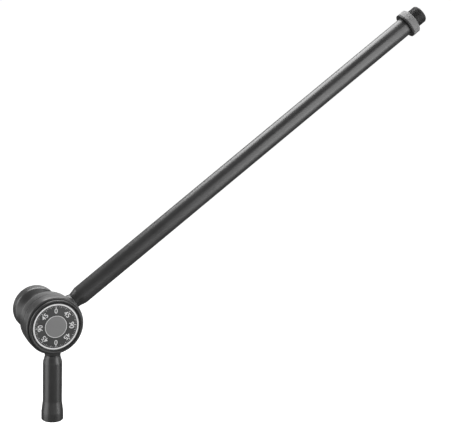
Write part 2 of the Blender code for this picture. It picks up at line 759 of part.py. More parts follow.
def build_sliding_group(frame):
    """Build the stack that slides along the bolt with the knob."""
    build_pivot_sleeve(frame)
    build_ring(
        "nylon_washer", frame, NYLON,
        SLEEVE_BORE_R, STACK_R, NYLON_FRONT, NYLON_BACK,
    )
    build_ring(
        "thrust_washer", frame, PLAIN_STEEL,
        BOLT_HOLE_R, STACK_R, THRUST_FRONT, THRUST_BACK,
    )
    build_disc_spring(frame)


def build_arm_group(frame):
    """Build what tilts with the arm."""
    build_rear_casting(frame)
    build_ring(
        "rear_friction_disc", frame, FIBRE,
        FRICTION_INNER_R, FRICTION_OUTER_R, REAR_DISC_FRONT, REAR_DISC_BACK,
    )
    build_arm_tube(frame)
    build_stud_plug(frame)
    build_lock_ring(frame)


def build_knob_group(frame):
    """Build what turns with the knob."""
    build_knob(frame)
    build_knob_insert(frame)
    build_knob_cap(frame)


def build_boom_arm():
    """Build the whole boom arm."""
    clear_scene()
    on_axis = (0.0, -STEM_DEPTH, STEM_HEIGHT)
    upright = (0.0, 0.0, 0.0)
    front = add_frame("clutch_axis", on_axis, upright)
    sliding = add_frame("clutch_slide", on_axis, upright)
    arm = add_frame("arm_pivot", on_axis, (0.0, -ARM_REST_ANGLE, 0.0))
    knob = add_frame("knob_axis", on_axis, upright)
    build_stem_tube()
    build_front_group(front)
    build_sliding_group(sliding)
    build_arm_group(arm)
    build_knob_group(knob)


build_boom_arm()
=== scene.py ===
"""Looks of a mini boom arm for a microphone stand.

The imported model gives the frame. Every shown piece is turned or cut again here
with its fine form: fillets, threads, knurling and print. Lengths are in metres.
A depth is a distance along +Y behind the dial's face, and a reach is a distance
from the clutch axis, along the stem or the arm.
"""

import json
import logging
import math
from collections.abc import Sequence
from dataclasses import dataclass, field
from enum import Enum

import bmesh
import bpy
from mathutils import Euler, Matrix, Vector


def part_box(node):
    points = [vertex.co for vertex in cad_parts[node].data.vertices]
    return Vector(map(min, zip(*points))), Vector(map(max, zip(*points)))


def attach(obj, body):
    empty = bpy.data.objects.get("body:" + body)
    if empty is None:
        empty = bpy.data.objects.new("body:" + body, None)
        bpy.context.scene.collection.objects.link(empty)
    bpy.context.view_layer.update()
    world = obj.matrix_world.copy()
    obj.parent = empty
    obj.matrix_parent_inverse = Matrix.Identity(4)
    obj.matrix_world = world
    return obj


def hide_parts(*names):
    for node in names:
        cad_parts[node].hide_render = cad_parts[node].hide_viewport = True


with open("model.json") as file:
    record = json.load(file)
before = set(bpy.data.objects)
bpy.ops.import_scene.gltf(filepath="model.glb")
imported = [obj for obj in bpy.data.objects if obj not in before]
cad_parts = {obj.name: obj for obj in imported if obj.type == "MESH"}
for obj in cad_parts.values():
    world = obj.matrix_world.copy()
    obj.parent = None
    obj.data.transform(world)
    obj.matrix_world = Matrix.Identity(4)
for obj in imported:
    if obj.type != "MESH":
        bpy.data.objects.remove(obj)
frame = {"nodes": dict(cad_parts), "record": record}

Shape = bmesh.types.BMesh
Socket = bpy.types.NodeSocket

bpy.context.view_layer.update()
LOG = logging.getLogger("boom_arm")

# Gap between fixed pieces, distances at which points are one, and fillets of plain edges.
REST_GAP = 0.0003
WELD = 1e-7
TOUCH = 1e-6
FINE_EDGE = 0.0001
BROKEN_EDGE = 0.0002

# Angle above which an edge is sharp, and sectors that a turned shape is made in.
SHARP_ANGLE = math.radians(32.0)
SECTORS = 8


class Body(Enum):
    """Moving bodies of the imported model."""

    STEM = "stem"
    ARM = "arm"
    KNOB = "knob"
    RING = "lock_ring"


class Slot(Enum):
    """Material slots of the record."""

    COAT = "black_coat"
    CAST = "black_cast"
    PLASTIC = "black_plastic"
    DIAL = "grey_dial"
    ZINC = "bright_zinc"
    OXIDE = "black_oxide"
    STEEL = "plain_steel"
    SPRING = "spring_steel"
    BRASS = "brass"
    FIBRE = "fibre"
    NYLON = "nylon"


@dataclass(frozen=True)
class Corner:
    """One corner of an outline, with the radius of its fillet."""

    radius: float
    level: float
    fillet: float = 0.0


@dataclass(frozen=True)
class Datum:
    """Where a sub-assembly is drawn: its local +Z is the axis it is turned on."""

    place: Matrix

    @classmethod
    def along(cls, origin: Vector, axis: Vector, across: Vector) -> "Datum":
        """Make a datum from a point and two directions.

        Args:
            origin: Point on the axis, in the row's frame.
            axis: Direction of the axis.
            across: Direction at right angles to the axis, the local +X.

        Returns:
            The datum.
        """
        axis = axis.normalized()
        side = (across - axis * across.dot(axis)).normalized()
        turn = Matrix((side, axis.cross(side), axis)).transposed().to_4x4()
        return cls(Matrix.Translation(origin) @ turn)

    @property
    def origin(self) -> Vector:
        """Origin of the datum in the row's frame."""
        return self.place.to_translation()

    @property
    def turn(self) -> Euler:
        """Turn of the datum as Euler angles."""
        return self.place.to_euler()


def joint_named(name: str) -> dict:
    """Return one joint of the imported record.

    Args:
        name: The joint's name.

    Returns:
        Its entry in behaviour.joints.
    """
    joints = frame["record"]["behaviour"]["joints"]
    return next(joint for joint in joints if joint["name"] == name)


def stem_datum() -> Datum:
    """Return the stem's datum, at the centre of its mouth."""
    return Datum.along(Vector(), Vector((0.0, 0.0, 1.0)), Vector((1.0, 0.0, 0.0)))


def clutch_datum() -> Datum:
    """Return the clutch's datum, at the centre of the dial's face."""
    pivot = Vector(joint_named("arm_tilt")["pos_m"])
    return Datum.along(pivot, Vector((0.0, 1.0, 0.0)), Vector((1.0, 0.0, 0.0)))


def arm_datum() -> Datum:
    """Find the arm's datum, on the tube's axis beside the clutch axis.

    Returns:
        The datum, with its +X turned up.
    """
    joint = joint_named("lock_ring_turn")
    axis = Vector(joint["axis"]).normalized()
    ring = Vector(joint["pos_m"])
    pivot = Vector(joint_named("arm_tilt")["pos_m"])
    reach = (ring - pivot).dot(axis)
    return Datum.along(ring - axis * reach, axis, Vector((0.0, 0.0, 1.0)))


# Sockets of a Mix node that mixes colours.
MIX_INPUTS = (0, 6, 7)
MIX_RESULT = 2


class Graph:
    """A node tree with short calls that add and join nodes."""

    def __init__(self, tree: bpy.types.NodeTree) -> None:
        """Keep the tree."""
        self.tree = tree

    def add(self, kind: str, **settings: object) -> bpy.types.Node:
        """Add a node.

        Args:
            kind: The node's type without its ShaderNode prefix.
            settings: Properties to set on the node.

        Returns:
            The node.
        """
        prefix = "" if kind.startswith("Node") else "ShaderNode"
        node = self.tree.nodes.new(prefix + kind)
        for name, value in settings.items():
            setattr(node, name, value)
        return node

    def put(self, socket: Socket, value: object) -> None:
        """Link another node's socket to an input, or set the input to a value.

        Args:
            socket: The input.
            value: What it takes.
        """
        if isinstance(value, Socket):
            self.tree.links.new(value, socket)
        else:
            socket.default_value = value

    def feed(self, node: bpy.types.Node, **values: object) -> bpy.types.Node:
        """Set or link a node's inputs.

        Args:
            node: The node.
            values: Input names with spaces as underscores, each with a socket
                to link or a value to set.

        Returns:
            The same node.
        """
        for name, value in values.items():
            self.put(node.inputs[name.replace("_", " ")], value)
        return node

    def math(self, operation: str, *values: object) -> Socket:
        """Add a Math node.

        Args:
            operation: The node's operation.
            values: Its values or sockets in order.

        Returns:
            The result's socket.
        """
        node = self.add("Math", operation=operation)
        for socket, value in zip(node.inputs, values):
            self.put(socket, value)
        return node.outputs[0]

    def spread(self, value: object, low: float, high: float, to_low: object = 0.0,
               to_high: object = 1.0) -> Socket:
        """Add a clamped Map Range node.

        Args:
            value: Socket to map.
            low: Value that gives to_low.
            high: Value that gives to_high.
            to_low: Lowest result.
            to_high: Highest result.

        Returns:
            The result's socket.
        """
        node = self.add("MapRange", clamp=True)
        self.feed(node, Value=value, From_Min=low, From_Max=high, To_Min=to_low, To_Max=to_high)
        return node.outputs["Result"]

    def blend(self, mask: object, first: object, second: object) -> Socket:
        """Mix two colours by a mask.

        Args:
            mask: Socket or value from 0 to 1.
            first: Colour at 0.
            second: Colour at 1.

        Returns:
            The mixed colour's socket.
        """
        node = self.add("Mix", data_type="RGBA")
        for index, value in zip(MIX_INPUTS, (mask, first, second)):
            self.put(node.inputs[index], value)
        return node.outputs[MIX_RESULT]

    def noise(self, vector: object, scale: object, **settings: float) -> Socket:
        """Add a Noise Texture.

        Args:
            vector: Socket that it reads.
            scale: Its scale, as a value or a socket.
            settings: Further inputs, as in feed.

        Returns:
            The grey result's socket.
        """
        return self.feed(self.add("TexNoise"), Vector=vector, Scale=scale, **settings).outputs["Fac"]

    def round_axis(self, vector: Socket) -> tuple:
        """Split a local vector into its distance from Z and its level.

        Args:
            vector: Socket of the vector.

        Returns:
            The distance's socket and the level's socket.
        """
        parts = self.feed(self.add("SeparateXYZ"), Vector=vector).outputs
        squares = [self.math("MULTIPLY", parts[axis], parts[axis]) for axis in "XY"]
        return self.math("SQRT", self.math("ADD", *squares)), parts["Z"]

    def group(self, shared: bpy.types.NodeTree, **values: object) -> bpy.types.Node:
        """Place a node group and set or link its inputs.

        Args:
            shared: The group's tree.
            values: Its inputs, as in feed.

        Returns:
            The group's node.
        """
        node = self.add("Group")
        node.node_tree = shared
        return self.feed(node, **values)


def new_group(name: str, inputs: Sequence[str], output: str) -> tuple:
    """Start a node group that reads a vector and some values.

    Args:
        name: Name of the group.
        inputs: Names of the values, after the Vector that every group has.
        output: Name of the value that it puts out.

    Returns:
        The tree, a graph over it, its input sockets and its output node.
    """
    tree = bpy.data.node_groups.new(name, "ShaderNodeTree")
    tree.interface.new_socket(name="Vector", in_out="INPUT", socket_type="NodeSocketVector")
    for label in inputs:
        tree.interface.new_socket(name=label, in_out="INPUT", socket_type="NodeSocketFloat")
    tree.interface.new_socket(name=output, in_out="OUTPUT", socket_type="NodeSocketFloat")
    graph = Graph(tree)
    return tree, graph, graph.add("NodeGroupInput").outputs, graph.add("NodeGroupOutput")


@dataclass
class SharedEffects:
    """Node groups that more than one finish uses, each built once."""

    cell_share: float = 0.55
    grain_share: float = 0.6
    grain_ratio: float = 1.7
    patch_range: tuple[float, float] = (0.38, 0.66)
    speck_range: tuple[float, float] = (0.45, 0.75)
    speck_ratio: float = 9.0
    speck_share: float = 0.35
    edge_range: tuple[float, float] = (0.90, 0.995)
    chip_range: tuple[float, float] = (0.42, 0.62)
    chip_scale: float = 900.0
    least_wear: float = 0.15

    def __post_init__(self) -> None:
        """Build the groups."""
        self.peel = self._peel()
        self.handling = self._handling()
        self.wear = self._wear()
        self.turning = self._turning()

    def _peel(self) -> bpy.types.NodeTree:
        """Build the pebbled skin of a sprayed coat.

        Returns:
            A group from Vector and Scale to Height.
        """
        tree, graph, given, end = new_group("sprayed_peel", ["Scale"], "Height")
        cells = graph.add("TexVoronoi", feature="SMOOTH_F1")
        graph.feed(cells, Vector=given["Vector"], Scale=given["Scale"], Smoothness=0.6, Randomness=1.0)
        finer = graph.math("MULTIPLY", given["Scale"], self.grain_ratio)
        grain = graph.noise(given["Vector"], finer, Detail=3.0, Roughness=0.6)
        pebbles = graph.math("MULTIPLY", cells.outputs["Distance"], self.cell_share)
        grit = graph.math("MULTIPLY", grain, self.grain_share)
        graph.feed(end, Height=graph.math("ADD", pebbles, grit))
        return tree

    def _handling(self) -> bpy.types.NodeTree:
        """Build the soft patches that hands and storage leave.

        Returns:
            A group from Vector and Scale to Mask.
        """
        tree, graph, given, end = new_group("handling_marks", ["Scale"], "Mask")
        patch = graph.noise(given["Vector"], given["Scale"], Detail=4.0, Roughness=0.55, Distortion=0.4)
        finer = graph.math("MULTIPLY", given["Scale"], self.speck_ratio)
        speck = graph.noise(given["Vector"], finer, Detail=2.0)
        broad = graph.spread(patch, *self.patch_range)
        fine = graph.spread(speck, *self.speck_range, 0.0, self.speck_share)
        graph.feed(end, Mask=graph.math("MINIMUM", graph.math("ADD", broad, fine), 1.0))
        return tree

    def _wear(self) -> bpy.types.NodeTree:
        """Build a mask along rubbed edges.

        Returns:
            A group from Vector, Radius and Amount to Mask.
        """
        tree, graph, given, end = new_group("edge_wear", ["Radius", "Amount"], "Mask")
        rounded = graph.feed(graph.add("Bevel", samples=6), Radius=given["Radius"])
        facing = graph.add("VectorMath", operation="DOT_PRODUCT")
        for socket, node in zip(facing.inputs, (rounded, graph.add("NewGeometry"))):
            graph.put(socket, node.outputs["Normal"])
        edge = graph.spread(facing.outputs["Value"], *self.edge_range, 1.0, 0.0)
        chips = graph.noise(given["Vector"], self.chip_scale, Detail=5.0, Roughness=0.7)
        rubbed = graph.spread(chips, *self.chip_range, self.least_wear, 1.0)
        share = graph.math("MULTIPLY", edge, rubbed)
        graph.feed(end, Mask=graph.math("MULTIPLY", share, given["Amount"]))
        return tree

    def _turning(self) -> bpy.types.NodeTree:
        """Build the fine rings that a lathe leaves round a local Z axis.

        Returns:
            A group from Vector and Lines, in lines a metre, to Height.
        """
        tree, graph, given, end = new_group("turning_lines", ["Lines"], "Height")
        radius, level = graph.round_axis(given["Vector"])
        joined = graph.feed(graph.add("CombineXYZ"), X=radius, Y=level)
        rings = graph.add("TexNoise", noise_dimensions="2D")
        graph.feed(rings, Vector=joined.outputs["Vector"], Scale=given["Lines"], Detail=2.0)
        graph.feed(end, Height=rings.outputs["Fac"])
        return tree


EFFECTS = SharedEffects()


def shade(level: float, tint: Sequence[float] = (1.0, 1.0, 1.0)) -> tuple:
    """Return a colour from a grey level and a tint.

    Args:
        level: Linear grey.
        tint: Factor for each channel.

    Returns:
        The colour with an alpha of 1.
    """
    return (level * tint[0], level * tint[1], level * tint[2], 1.0)


@dataclass(frozen=True)
class Finish:
    """What every finish holds: its colours and how it catches light."""

    label: str
    slot: Slot
    colour: tuple
    patch_colour: tuple
    roughness: tuple[float, float] = (0.35, 0.45)
    patch_scale: float = 30.0
    metallic: float = 0.0
    specular: float = 0.5

    def base(self, graph: Graph, mask: Socket) -> Socket:
        """Return the colour with its handling marks."""
        return graph.blend(mask, self.colour, self.patch_colour)

    def pattern(self, graph: Graph, vector: Socket, mask: Socket) -> tuple:
        """Make what differs from finish to finish.

        Args:
            graph: The material's graph.
            vector: Socket of the local vector.
            mask: Socket of the handling mask.

        Returns:
            The colour's socket, the height's socket and the height's depth in metres.
        """
        raise NotImplementedError

    def make(self, datum: Datum) -> bpy.types.Material:
        """Build the material.

        Args:
            datum: Frame that the patterns follow, with +Z as the turning axis.

        Returns:
            The material.
        """
        material = bpy.data.materials.new(self.label)
        material.use_nodes = True
        material.diffuse_color = self.colour
        graph = Graph(material.node_tree)
        shader = material.node_tree.nodes["Principled BSDF"]
        mapping = graph.add("Mapping", vector_type="TEXTURE")
        graph.feed(mapping, Vector=graph.add("TexCoord").outputs["Object"], Location=datum.origin,
                   Rotation=datum.turn)
        vector = mapping.outputs["Vector"]
        mask = graph.group(EFFECTS.handling, Vector=vector, Scale=self.patch_scale).outputs["Mask"]
        colour, height, depth = self.pattern(graph, vector, mask)
        bump = graph.feed(graph.add("Bump"), Height=height, Distance=depth, Strength=1.0)
        roughness = graph.spread(mask, 0.0, 1.0, *self.roughness)
        graph.feed(shader, Base_Color=colour, Metallic=self.metallic, Roughness=roughness,
                   Specular_IOR_Level=self.specular, Normal=bump.outputs["Normal"])
        return material


@dataclass(frozen=True)
class Worn(Finish):
    """Finish whose edges are rubbed."""

    wear_radius: float = 0.0004
    wear_amount: float = 0.5
    worn_colour: tuple = (0.10, 0.10, 0.10, 1.0)

    def worn_base(self, graph: Graph, vector: Socket, mask: Socket) -> Socket:
        """Return the colour with its handling marks and rubbed edges.

        Args:
            graph: The material's graph.
            vector: Socket of the local vector.
            mask: Socket of the handling mask.

        Returns:
            The colour's socket.
        """
        wear = graph.group(EFFECTS.wear, Vector=vector, Radius=self.wear_radius,
                           Amount=self.wear_amount)
        return graph.blend(wear.outputs["Mask"], self.base(graph, mask), self.worn_colour)


@dataclass(frozen=True)
class Sprayed(Worn):
    """Sprayed or baked coat with a pebbled skin."""

    peel_scale: float = 1400.0
    peel_depth: float = 0.00002

    def pattern(self, graph: Graph, vector: Socket, mask: Socket) -> tuple:
        """Return the worn coat and its pebbled skin."""
        peel = graph.group(EFFECTS.peel, Vector=vector, Scale=self.peel_scale)
        return self.worn_base(graph, vector, mask), peel.outputs["Height"], self.peel_depth


@dataclass(frozen=True)
class Machined(Worn):
    """Turned or rolled metal with fine rings."""

    lines: float = 3000.0
    line_depth: float = 0.00001
    wear_radius: float = 0.0002
    wear_amount: float = 0.6
    worn_colour: tuple = (0.6, 0.6, 0.6, 1.0)

    def pattern(self, graph: Graph, vector: Socket, mask: Socket) -> tuple:
        """Return the worn metal and its rings."""
        rings = graph.group(EFFECTS.turning, Vector=vector, Lines=self.lines)
        return self.worn_base(graph, vector, mask), rings.outputs["Height"], self.line_depth


@dataclass(frozen=True)
class Pressed(Finish):
    """Matted fibre or moulded nylon, speckled through its thickness."""

    fleck_scale: float = 1500.0
    fleck_depth: float = 0.00003
    fleck_colour: tuple = (0.05, 0.03, 0.02, 1.0)
    fleck_range: tuple[float, float] = (0.45, 0.8)
    fleck_share: float = 0.8

    def pattern(self, graph: Graph, vector: Socket, mask: Socket) -> tuple:
        """Speckle the colour by its grain.

        Args:
            graph: The material's graph.
            vector: Socket of the local vector.
            mask: Socket of the handling mask.

        Returns:
            The colour's socket, the height's socket and the height's depth in metres.
        """
        grain = graph.group(EFFECTS.peel, Vector=vector, Scale=self.fleck_scale).outputs["Height"]
        share = graph.spread(grain, *self.fleck_range, 0.0, self.fleck_share)
        return graph.blend(share, self.base(graph, mask), self.fleck_colour), grain, self.fleck_depth


@dataclass(frozen=True)
class DialFace(Finish):
    """Printed face: a dark band round a lighter disc."""

    band_level: float = 0.05
    band_marks: float = 1.25
    disc_radius: float = 0.0091
    print_grain: float = 5200.0
    print_range: tuple[float, float] = (0.35, 0.65)
    print_depth: float = 0.000004

    def pattern(self, graph: Graph, vector: Socket, mask: Socket) -> tuple:
        """Print the band and the disc.

        Args:
            graph: The material's graph.
            vector: Socket of the local vector.
            mask: Socket of the handling mask.

        Returns:
            The colour's socket, the height's socket and the height's depth in metres.
        """
        inside = graph.math("LESS_THAN", graph.round_axis(vector)[0], self.disc_radius)
        screen = graph.noise(vector, self.print_grain, Detail=2.0, Roughness=0.6)
        disc = self.base(graph, graph.spread(screen, *self.print_range))
        band = graph.blend(mask, shade(self.band_level), shade(self.band_level * self.band_marks))
        return graph.blend(inside, band, disc), screen, self.print_depth


COAT = Sprayed("satin_black_coat", Slot.COAT, shade(0.030), shade(0.036), (0.31, 0.37), 22.0,
               specular=0.9, peel_scale=1500.0, peel_depth=0.000022, wear_amount=0.35)
CAST = Sprayed("black_enamel", Slot.CAST, shade(0.031), shade(0.037), (0.33, 0.41), 40.0,
               specular=0.9, peel_scale=900.0, peel_depth=0.00003, wear_amount=0.45)
PLASTIC = Sprayed("black_moulding", Slot.PLASTIC, shade(0.027), shade(0.032), (0.32, 0.40), 50.0,
                  specular=0.8, peel_scale=2600.0, peel_depth=0.000012, wear_amount=0.2)
DIAL = DialFace("printed_dial", Slot.DIAL, shade(0.21), shade(0.23), (0.36, 0.44), 60.0,
                band_level=0.055)
INK = Pressed("white_ink", Slot.DIAL, shade(0.88), shade(0.82), (0.45, 0.55), 80.0,
              fleck_scale=6000.0, fleck_depth=0.000002, fleck_colour=shade(0.62))
ZINC = Machined("grey_zinc", Slot.ZINC, shade(0.30), shade(0.26), (0.62, 0.72), 90.0, 0.5,
                lines=2500.0, wear_amount=0.25, worn_colour=shade(0.40))
OXIDE = Machined("blackened_steel", Slot.OXIDE, shade(0.050), shade(0.065), (0.38, 0.50), 90.0, 0.5,
                 lines=2500.0, worn_colour=shade(0.20))
STEEL = Machined("plated_steel", Slot.STEEL, shade(0.50), shade(0.42), (0.28, 0.40), 80.0, 1.0)
SPRING = Machined("spring_steel", Slot.SPRING, shade(0.30), shade(0.24), (0.26, 0.38), 120.0, 1.0,
                  worn_colour=shade(0.42))
BRASS = Machined("turned_brass", Slot.BRASS, shade(0.62, (1.0, 0.76, 0.35)),
                 shade(0.50, (1.0, 0.74, 0.36)), (0.28, 0.40), 80.0, 1.0,
                 worn_colour=shade(0.75, (1.0, 0.8, 0.45)))
FIBRE = Pressed("pressed_fibre", Slot.FIBRE, shade(0.17, (1.0, 0.7, 0.45)),
                shade(0.12, (1.0, 0.7, 0.45)), (0.75, 0.9), 120.0)
NYLON = Pressed("natural_nylon", Slot.NYLON, shade(0.62, (1.0, 0.98, 0.9)),
                shade(0.56, (1.0, 0.98, 0.88)), (0.42, 0.55), 90.0, fleck_depth=0.000008,
                fleck_colour=shade(0.5, (1.0, 0.97, 0.86)))


def draw_outline(corners: Sequence[Corner], closed: bool = False, segments: int = 1) -> Shape:
    """Draw an outline in the XZ plane and round its corners.

    Args:
        corners: The corners in order.
        closed: Whether the last corner joins the first.
        segments: Segments of each fillet.

    Returns:
        A bmesh with the outline's vertices and edges.
    """
    shape = bmesh.new()
    verts = [shape.verts.new((corner.radius, 0.0, corner.level)) for corner in corners]
    for first, second in zip(verts, verts[1:]):
        shape.edges.new((first, second))
    if closed:
        shape.edges.new((verts[-1], verts[0]))
    spots = [vert.co.copy() for vert in verts]
    for index, corner in enumerate(corners):
        if corner.fillet <= 0.0:
            continue
        before = spots[index - 1] - spots[index]
        after = spots[(index + 1) % len(spots)] - spots[index]
        bmesh.ops.bevel(
            shape, geom=[verts[index]], offset=corner.fillet / math.tan(before.angle(after) / 2),
            offset_type="OFFSET", segments=segments, profile=0.5, affect="VERTICES", material=-1,
        )
    return shape


def set_radius(vert: bmesh.types.BMVert, radius: float) -> None:
    """Move a vertex straight out or in to a radius round Z.

    Args:
        vert: The vertex, which isn't on the axis.
        radius: Its new distance from the axis.
    """
    share = radius / math.hypot(vert.co.x, vert.co.y)
    vert.co.x *= share
    vert.co.y *= share


def repeat(shape: Shape, count: int, step: Matrix) -> None:
    """Repeat everything in a shape, each copy moved one step further.

    Args:
        shape: The shape, changed in place. Touching copies are merged.
        count: How many there are in the end.
        step: Move from one copy to the next.
    """
    copied = shape.verts[:] + shape.edges[:] + shape.faces[:]
    for _ in range(count - 1):
        copied = bmesh.ops.duplicate(shape, geom=copied)["geom"]
        verts = [item for item in copied if isinstance(item, bmesh.types.BMVert)]
        bmesh.ops.transform(shape, matrix=step, verts=verts)
    bmesh.ops.remove_doubles(shape, verts=shape.verts[:], dist=TOUCH)


def wind(shape: Shape, angle: float, steps: int, rise: float = 0.0) -> None:
    """Spin everything in a shape round Z.

    Args:
        shape: The outline, which is changed in place.
        angle: Whole angle.
        steps: Steps of the turn.
        rise: Advance along Z at each step.
    """
    bmesh.ops.spin(
        shape, geom=shape.verts[:] + shape.edges[:], cent=(0.0, 0.0, 0.0), axis=(0.0, 0.0, 1.0),
        dvec=(0.0, 0.0, rise), angle=angle, steps=steps, use_merge=False,
    )


def turned(corners: Sequence[Corner], closed: bool = False, steps: int = 128,
           segments: int = 6) -> Shape:
    """Turn an outline round Z, one sector at a time.

    Args:
        corners: The outline's corners.
        closed: Whether the outline is a loop, as for a ring.
        steps: Steps of the turn, a multiple of SECTORS.
        segments: Segments of each fillet.

    Returns:
        The turned shape.
    """
    shape = draw_outline(corners, closed, segments)
    wind(shape, math.tau / SECTORS, steps // SECTORS)
    repeat(shape, SECTORS, Matrix.Rotation(math.tau / SECTORS, 4, "Z"))
    bmesh.ops.recalc_face_normals(shape, faces=shape.faces[:])
    return shape


def screw_surface(root: float, crest: float, low: float, high: float, steps: int) -> Shape:
    """Wind the standard thread's outline into a helical surface cut flat at both ends.

    Args:
        root: Radius at the bottom of the thread.
        crest: Radius at its top, which an inside thread has reversed.
        low: Level of the lower end.
        high: Level of the upper end.
        steps: Steps a turn.

    Returns:
        The open surface round Z.
    """
    pitch = THREAD.pitch
    flank, top, start = pitch * THREAD.flank, pitch * THREAD.top, low - pitch * THREAD.run_in
    marks = (
        (root, 0.0), (root, flank), (crest, top),
        (crest, pitch - top), (root, pitch - flank), (root, pitch),
    )
    shape = draw_outline([Corner(radius, start + level) for radius, level in marks])
    wind(shape, math.tau, steps, pitch / steps)
    turns = math.ceil((high - low) / pitch) + THREAD.spare_turns
    repeat(shape, turns, Matrix.Translation((0.0, 0.0, pitch)))
    for level, side in ((low, -1.0), (high, 1.0)):
        bmesh.ops.bisect_plane(
            shape, geom=shape.verts[:] + shape.edges[:] + shape.faces[:], dist=WELD,
            plane_co=(0.0, 0.0, level), plane_no=(0.0, 0.0, side), clear_outer=True,
        )
    return shape


def grow_rim(shape: Shape, start: float, stations: Sequence[Corner]) -> None:
    """Extend an open rim through stations, and close it if the last is on the axis.

    Args:
        shape: The shape round Z, changed in place.
        start: Level of the open rim.
        stations: Radius and level of each new ring in turn.
    """
    edges = [
        edge for edge in shape.edges
        if edge.is_boundary and all(abs(vert.co.z - start) < TOUCH for vert in edge.verts)
    ]
    for station in stations:
        grown = bmesh.ops.extrude_edge_only(shape, edges=edges)["geom"]
        edges = [item for item in grown if isinstance(item, bmesh.types.BMEdge)]
        verts = [item for item in grown if isinstance(item, bmesh.types.BMVert)]
        for vert in verts:
            set_radius(vert, station.radius)
            vert.co.z = station.level
        if station.radius < TOUCH:
            bmesh.ops.pointmerge(shape, verts=verts, merge_co=(0.0, 0.0, station.level))


def outline_stations(corners: Sequence[Corner], segments: int) -> list[Corner]:
    """Return the rounded outline's points in order, after its first corner.

    Args:
        corners: The outline's corners.
        segments: Segments of each fillet.

    Returns:
        A corner without a fillet for each point.
    """
    shape = draw_outline(corners, segments=segments)
    first = Vector((corners[0].radius, 0.0, corners[0].level))
    ends = [vert for vert in shape.verts if len(vert.link_edges) == 1]
    here = min(ends, key=lambda vert: (vert.co - first).length)
    points, edge = [], None
    while here is not None:
        points.append(Corner(here.co.x, here.co.z))
        onward = [item for item in here.link_edges if item is not edge]
        edge = onward[0] if onward else None
        here = edge.other_vert(here) if edge else None
    shape.free()
    return points[1:]


def link_shape(name: str, shape: Shape) -> bpy.types.Object:
    """Write a shape to a mesh and link it as an object at the origin.

    Args:
        name: Name of the object.
        shape: The shape. It is freed.

    Returns:
        The object.
    """
    mesh = bpy.data.meshes.new(name)
    shape.to_mesh(mesh)
    shape.free()
    piece = bpy.data.objects.new(name, mesh)
    bpy.context.collection.objects.link(piece)
    return piece


def place_shape(name: str, shape: Shape, datum: Datum) -> bpy.types.Object:
    """Put a shape in its place and link it as an object.

    Args:
        name: Name of the object.
        shape: The shape in the datum's own frame.
        datum: Where the shape belongs.

    Returns:
        The object.
    """
    bmesh.ops.transform(shape, matrix=datum.place, verts=shape.verts[:])
    bmesh.ops.recalc_face_normals(shape, faces=shape.faces[:])
    return link_shape(name, shape)


def combine(base: bpy.types.Object, tools: Sequence[tuple[str, bpy.types.Object]]) -> None:
    """Apply Boolean tools to a piece and remove them.

    Args:
        base: The piece, whose mesh is replaced.
        tools: Operation and object of each tool, in order.
    """
    for index, (operation, tool) in enumerate(tools):
        boolean = base.modifiers.new(f"step_{index}", "BOOLEAN")
        boolean.operation = operation
        boolean.solver = "EXACT"
        boolean.object = tool
    held = bpy.context.evaluated_depsgraph_get()
    mesh = bpy.data.meshes.new_from_object(base.evaluated_get(held))
    base.modifiers.clear()
    base.data = mesh
    for _, tool in tools:
        bpy.data.objects.remove(tool, do_unlink=True)


@dataclass
class SubAssembly:
    """Pieces that are drawn from one datum."""

    datum: Datum

    def dress(self, piece: bpy.types.Object, finish: Finish, body: Body, *nodes: str) -> None:
        """Give a piece its finish and its place in the model.

        Args:
            piece: The piece.
            finish: Its finish.
            body: The body that it moves with.
            nodes: Nodes that it stands for.
        """
        piece.data.materials.clear()
        piece.data.materials.append(finish.make(self.datum))
        piece.data.shade_smooth()
        piece.data.set_sharp_from_angle(angle=SHARP_ANGLE)
        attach(piece, body.value)
        if nodes:
            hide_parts(*nodes)
        LOG.info("%s: %d faces on %s", piece.name, len(piece.data.polygons), body.value)

    def add(self, name: str, shape: Shape, finish: Finish, body: Body, *nodes: str) -> None:
        """Place a shape as a dressed piece.

        Args:
            name: Name of the piece.
            shape: The shape in the datum's frame.
            finish: Its finish.
            body: The body that it moves with.
            nodes: Nodes that it stands for.
        """
        self.dress(place_shape(name, shape, self.datum), finish, body, *nodes)


@dataclass(frozen=True)
class Thread:
    """Standard microphone thread, five eighths of an inch. Shares are of its pitch."""

    major: float = 0.0079375
    pitch: float = 0.0254 / 27
    nut_depth: float = 1.0825
    bolt_depth: float = 0.6134
    flank: float = 0.07
    top: float = 0.44
    run_in: float = 1.5
    spare_turns: int = 2

    @property
    def nut_bore(self) -> float:
        """Radius of the bore before it is tapped."""
        return self.major - self.pitch * self.nut_depth / 2

    @property
    def root(self) -> float:
        """Radius at the bottom of the outside thread."""
        return self.major - self.pitch * self.bolt_depth


@dataclass(frozen=True)
class Tube:
    """Tube stock of the stem and the arm, with its swaged neck."""

    outer: float = 0.0079375
    wall: float = 0.0012
    neck: float = 0.00655
    neck_length: float = 0.0014
    swage_length: float = 0.0052
    bore_round: float = 0.002

    @property
    def bore(self) -> float:
        """Radius of the tube's bore."""
        return self.outer - self.wall

    def necked(self, end: float, way: float, rounds: tuple[float, float]) -> list[Corner]:
        """Return the outline of a necked end, from the tube's outside to its bore.

        Args:
            end: Level of the neck's end.
            way: 1.0 if the neck points up the axis, or -1.0 if down.
            rounds: Fillets of the shoulder and of the neck's root, in swage lengths.

        Returns:
            The corners.
        """
        root = end - way * self.neck_length
        shoulder = root - way * self.swage_length
        return [
            Corner(self.outer, shoulder, self.swage_length * rounds[0]),
            Corner(self.neck, root, self.swage_length * rounds[1]),
            Corner(self.neck, end, BROKEN_EDGE),
            Corner(self.neck - self.wall, end),
            Corner(self.neck - self.wall, root, self.bore_round),
            Corner(self.bore, shoulder, self.bore_round),
        ]


TUBE = Tube()
THREAD = Thread()
CLUTCH_REACH = 0.0262


